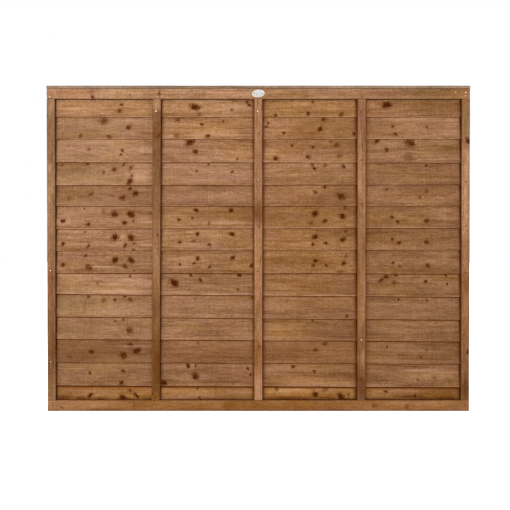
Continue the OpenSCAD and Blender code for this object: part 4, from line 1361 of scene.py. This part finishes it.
def driven(name, profile, heads, into, rng, coated, around=NAIL_AROUND):
    """Copies of a turned nail at each head, pointing into the wood, each turned a little off
    straight about its head's middle. Each nail is coated as far as its number says."""
    points, faces = turned(profile, around)
    side = np.cross(into, Z_WAY if abs(into[2]) < 0.5 else X_WAY)
    up = np.cross(side, into)
    all_points, all_faces = [], []
    for n, head in enumerate(heads):
        lean = rng.uniform(-NAIL_LEAN, NAIL_LEAN, 2)
        way = into + lean[0] * side + lean[1] * up
        all_points.append(head + points[:, :1] * side + points[:, 1:2] * up + points[:, 2:] * way)
        all_faces += [[v + n * len(points) for v in face] for face in faces]
    attributes = {"coated": np.repeat(coated, len(points))}
    return mesh_piece(name, np.concatenate(all_points), all_faces, attributes, sharp=60)


def coating_of(heads, rng):
    """How far each nail head is coated: hardly at all where it shines in the photograph, and
    mostly or wholly elsewhere."""
    x = PHOTO_MIDDLE_X + heads[:, 0] / METRES_PER_PX
    y = PHOTO_FOOT_Y - heads[:, 2] / METRES_PER_PX
    coated = rng.uniform(*COATED, len(heads))
    for bright_x, bright_y, share in BRIGHT_NAILS:
        coated = np.where(np.hypot(x - bright_x, y - bright_y) < BRIGHT_REACH_PX, share, coated)
    return coated


def make_nails():
    look = looks()
    steel = shared("nail steel", steel_material, look.nail_steel, 0.34)
    for k, name in enumerate([*UPRIGHTS, *RAILS]):
        node = name + "_nails"
        heads = nail_heads(node, 1, FRONT_Y)
        profile = nail_profile(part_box(node)[1].y - FRONT_Y, NAIL, look.nail_dome)
        rng = np.random.default_rng(NAIL_SEED + k)
        piece = driven(node + "_driven", profile, heads, Y_WAY, rng, coating_of(heads, rng))
        dress(piece, steel, node)
    heads = nail_heads("capping_nails", 2, PANEL_H) - CAPPING_NAIL_SINK * Z_WAY
    profile = nail_profile(CAPPING_NAIL_LENGTH, NAIL, CAPPING_NAIL_DOME)
    rng = np.random.default_rng(CAPPING_NAIL_SEED)
    coated = rng.uniform(*CAPPING_COATED, len(heads))
    piece = driven("capping_nails_driven", profile, heads, -Z_WAY, rng, coated)
    dress(piece, steel, "capping_nails")


# The tag's half length and half height as shares of its node's box, in which it leans, and its
# section from the middle outwards: shares of the reach and, for each, of the thickness
TAG_LEAN = radians(5)
TAG_LENGTH_SHARE = 0.955
TAG_HEIGHT_SHARE = 0.915
TAG_SECTION_SHARES = [
    (0.2, 0.6), (0.4, 0.6), (0.6, 0.6), (0.76, 0.6), (0.82, 0.6), (0.845, 0.64), (0.86, 0.8),
    (0.875, 0.94), (0.91, 1.0), (0.95, 1.0), (0.98, 0.94), (0.995, 0.8), (1.0, 0.6), (1.0, 0.0),
    (0.5, 0.0),
]
TAG_FIELD_SHARE = 0.85    # where the sunk field ends
TAG_CLEARANCE = 0.02 * MM
TAG_AROUND = 96


def oval_reach(angle, half_l, half_h):
    """How far an ellipse that leans by TAG_LEAN reaches from its middle at an angle."""
    turned_angle = angle - TAG_LEAN
    return ((np.cos(turned_angle) / half_l) ** 2 + (np.sin(turned_angle) / half_h) ** 2) ** -0.5


def make_tag():
    """The tag's face, rim and edge as one surface of an angle and a share from the middle out,
    closed by a flat back. The share gives the height: a sunk field, a step up, a rounded rim
    and the edge down to the wood."""
    low, high = (np.array(corner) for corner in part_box("oval_tag"))
    middle, half = (low + high) / 2, (high - low) / 2
    shares, heights = np.array(TAG_SECTION_SHARES).T
    heights = heights * 2 * half[1]
    angle = np.linspace(0, 2 * np.pi, TAG_AROUND, endpoint=False)
    reach = oval_reach(angle, TAG_LENGTH_SHARE * half[0], TAG_HEIGHT_SHARE * half[2])
    x = shares[:, None] * reach * np.cos(angle)
    z = shares[:, None] * reach * np.sin(angle)
    body = np.stack([x, -heights[:, None] + 0 * x, z], -1).reshape(-1, 3)
    points = np.concatenate([body, [[0, -heights[0], 0], [0, 0, 0]]])
    points += (middle[0], high[1] - TAG_CLEARANCE, middle[2])
    faces = ring_quads(len(shares), TAG_AROUND) + pole_fans(len(shares), TAG_AROUND)
    sunk = (shares < TAG_FIELD_SHARE) & (heights > 0)
    field = np.concatenate([np.repeat(sunk, TAG_AROUND), [1, 0]]).astype(float)
    piece = mesh_piece("oval_tag_moulded", points, faces, {"field": field}, 40)
    dress(piece, shared("tag plastic", tag_material), "oval_tag")


def make_tacks():
    """The tag's two tacks, which aren't coated."""
    low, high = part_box("tag_tacks")
    heads = nail_heads("tag_tacks", 1, low.y)
    profile = nail_profile(high.y - low.y, TACK, TACK_DOME)
    rng = np.random.default_rng(TACK_SEED)
    tacks = driven("tag_tacks_driven", profile, heads, Y_WAY, rng, np.zeros(len(heads)), TACK_AROUND)
    dress(tacks, shared("tack steel", steel_material, TACK_STEEL, 0.4), "tag_tacks")


# Stage

FLOOR_CELLS = 8
FLOOR_GAP = 0.2 * MM                  # how far the floor lies below the panel's foot
LEFT_LIGHT_PLACE = (-1.3, -1.6, 1.2)
LEFT_LIGHT_SIZE = (0.7, 0.8)
FRONT_LIGHT_WIDTH = radians(7)        # how wide the distant light looks from the panel


def make_floor(studio):
    """A square floor, divided into cells, so large that its edge doesn't show."""
    half = studio.floor_size / 2
    row = FLOOR_CELLS + 1
    x, y = np.meshgrid(*[np.linspace(-half, half, row)] * 2, indexing="ij")
    points = np.stack([x, y, 0 * x - FLOOR_GAP], -1).reshape(-1, 3)
    i, j = np.meshgrid(*[np.arange(FLOOR_CELLS)] * 2, indexing="ij")
    corner = i * row + j
    faces = np.stack([corner, corner + row, corner + row + 1, corner + 1], -1).reshape(-1, 4)
    mesh = bpy.data.meshes.new("studio_floor")
    mesh.from_pydata(points.tolist(), [], faces.tolist())
    floor = bpy.data.objects.new("studio_floor", mesh)
    bpy.context.scene.collection.objects.link(floor)
    mesh.materials.append(shared("studio floor", floor_material, studio.floor_white, studio.floor_glow))
    floor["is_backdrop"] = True


def make_light(name, kind, power, colour):
    """A light of its kind, power and colour. Returns it and the object that holds it."""
    light = bpy.data.lights.new(name, kind)
    light.energy, light.color = power, colour
    holder = bpy.data.objects.new(name, light)
    bpy.context.scene.collection.objects.link(holder)
    return light, holder


def make_left_light(studio):
    """The soft light at the upper left, turned to the panel's middle."""
    light, holder = make_light("left_light", "AREA", studio.left_power, studio.left_colour)
    light.shape = "RECTANGLE"
    light.size, light.size_y = LEFT_LIGHT_SIZE
    holder.location = LEFT_LIGHT_PLACE
    way = Vector((0, 0, PANEL_H / 2)) - Vector(LEFT_LIGHT_PLACE)
    holder.rotation_euler = way.to_track_quat("-Z", "Y").to_euler()


def make_front_light(studio):
    """The distant light behind the camera, a little above the horizon."""
    light, holder = make_light("front_light", "SUN", studio.front_light, studio.other_colour)
    light.angle = FRONT_LIGHT_WIDTH
    holder.rotation_euler = (radians(90) - studio.front_height, 0, 0)


def make_camera(studio):
    """The photograph's camera. The panel's width in the picture, at the camera's distance, gives
    the lens. A slight pitch gives the panel's slight narrowing towards its foot. The shift
    brings the panel's top and foot to their places in the picture."""
    data = bpy.data.cameras.new("camera")
    camera = bpy.data.objects.new("camera", data)
    bpy.context.scene.collection.objects.link(camera)
    distance, pitch = studio.camera_distance, studio.camera_pitch
    seen_width = PHOTO_SIDE * METRES_PER_PX
    data.lens = data.sensor_width * distance / seen_width
    data.clip_end = 200
    camera.location = (0, FRONT_Y - distance, PANEL_H / 2 + distance * tan(pitch))
    camera.rotation_euler = (radians(90) - pitch, 0, 0)
    half = PHOTO_SIDE / 2
    data.shift_x = (half - PHOTO_MIDDLE_X) / PHOTO_SIDE
    drop_px = middle_drop(studio) / METRES_PER_PX
    data.shift_y = ((PHOTO_TOP_Y + PHOTO_FOOT_Y) / 2 + drop_px - half) / PHOTO_SIDE
    bpy.context.scene.camera = camera


def make_surroundings(light, colour):
    """Surroundings that light the scene by the given amount and colour and show as plain white."""
    world = bpy.data.worlds.new("studio")
    world.use_nodes = True
    tree = world.node_tree
    tree.nodes.clear()
    lighting = add(tree, "ShaderNodeBackground", {"Color": (*colour, 1), "Strength": light})
    shown = add(tree, "ShaderNodeBackground", {"Color": (1, 1, 1, 1), "Strength": 1.0})
    seen = tree.nodes.new("ShaderNodeLightPath").outputs["Is Camera Ray"]
    mixed = add(tree, "ShaderNodeMixShader", {0: seen, 1: lighting.outputs[0], 2: shown.outputs[0]})
    out = tree.nodes.new("ShaderNodeOutputWorld")
    tree.links.new(mixed.outputs[0], out.inputs["Surface"])
    return world


def make_stage():
    scene = bpy.context.scene
    studio = scene.fence_studio
    make_camera(studio)
    make_floor(studio)
    make_left_light(studio)
    make_front_light(studio)
    scene.world = make_surroundings(studio.sky, studio.other_colour)
    scene.view_settings.view_transform = "Standard"


# Operators, panel and registration

class FENCE_OT_stage(bpy.types.Operator):
    """Makes the camera, the pale floor and the soft lights"""

    bl_idname = "fence.stage"
    bl_label = "Stage"

    def execute(self, context):
        make_stage()
        return {"FINISHED"}


class FENCE_OT_boards(bpy.types.Operator):
    """Makes the sawn lap boards"""

    bl_idname = "fence.boards"
    bl_label = "Lap boards"

    def execute(self, context):
        make_boards()
        return {"FINISHED"}


class FENCE_OT_uprights(bpy.types.Operator):
    """Makes the stiles and battens on both faces"""

    bl_idname = "fence.uprights"
    bl_label = "Uprights"

    def execute(self, context):
        make_uprights()
        return {"FINISHED"}


class FENCE_OT_rails(bpy.types.Operator):
    """Makes the top and bottom rails on both faces"""

    bl_idname = "fence.rails"
    bl_label = "Rails"

    def execute(self, context):
        make_rails()
        return {"FINISHED"}


class FENCE_OT_capping(bpy.types.Operator):
    """Makes the weathered capping strip"""

    bl_idname = "fence.capping"
    bl_label = "Capping strip"

    def execute(self, context):
        make_capping()
        return {"FINISHED"}


class FENCE_OT_nails(bpy.types.Operator):
    """Makes the nails of the frame and the capping strip"""

    bl_idname = "fence.nails"
    bl_label = "Nails"

    def execute(self, context):
        make_nails()
        return {"FINISHED"}


class FENCE_OT_tag(bpy.types.Operator):
    """Makes the bare oval tag and its two tacks"""

    bl_idname = "fence.tag"
    bl_label = "Tag"

    def execute(self, context):
        make_tag()
        make_tacks()
        return {"FINISHED"}


class FENCE_PT_sidebar(bpy.types.Panel):
    """Lists the steps that dress the panel, and their sizes and colours"""

    bl_label = "Lap fence panel"
    bl_idname = "FENCE_PT_sidebar"
    bl_space_type = "VIEW_3D"
    bl_region_type = "UI"
    bl_category = "Fence"

    def draw(self, context):
        for step in STEPS:
            self.layout.operator(step.bl_idname)
        for group in (context.scene.fence_looks, context.scene.fence_studio):
            for key in group.__annotations__:
                self.layout.prop(group, key)


STEPS = (FENCE_OT_stage, FENCE_OT_boards, FENCE_OT_uprights, FENCE_OT_rails, FENCE_OT_capping,
         FENCE_OT_nails, FENCE_OT_tag)
CLASSES = (FenceLooks, FenceStudio, *STEPS, FENCE_PT_sidebar)


def register():
    for each in CLASSES:
        bpy.utils.register_class(each)
    bpy.types.Scene.fence_looks = PointerProperty(type=FenceLooks)
    bpy.types.Scene.fence_studio = PointerProperty(type=FenceStudio)


def unregister():
    del bpy.types.Scene.fence_studio
    del bpy.types.Scene.fence_looks
    for each in reversed(CLASSES):
        bpy.utils.unregister_class(each)


def main():
    register()
    for step in STEPS:
        group, name = step.bl_idname.split(".")
        getattr(getattr(bpy.ops, group), name)()


if __name__ == "__main__":
    main()
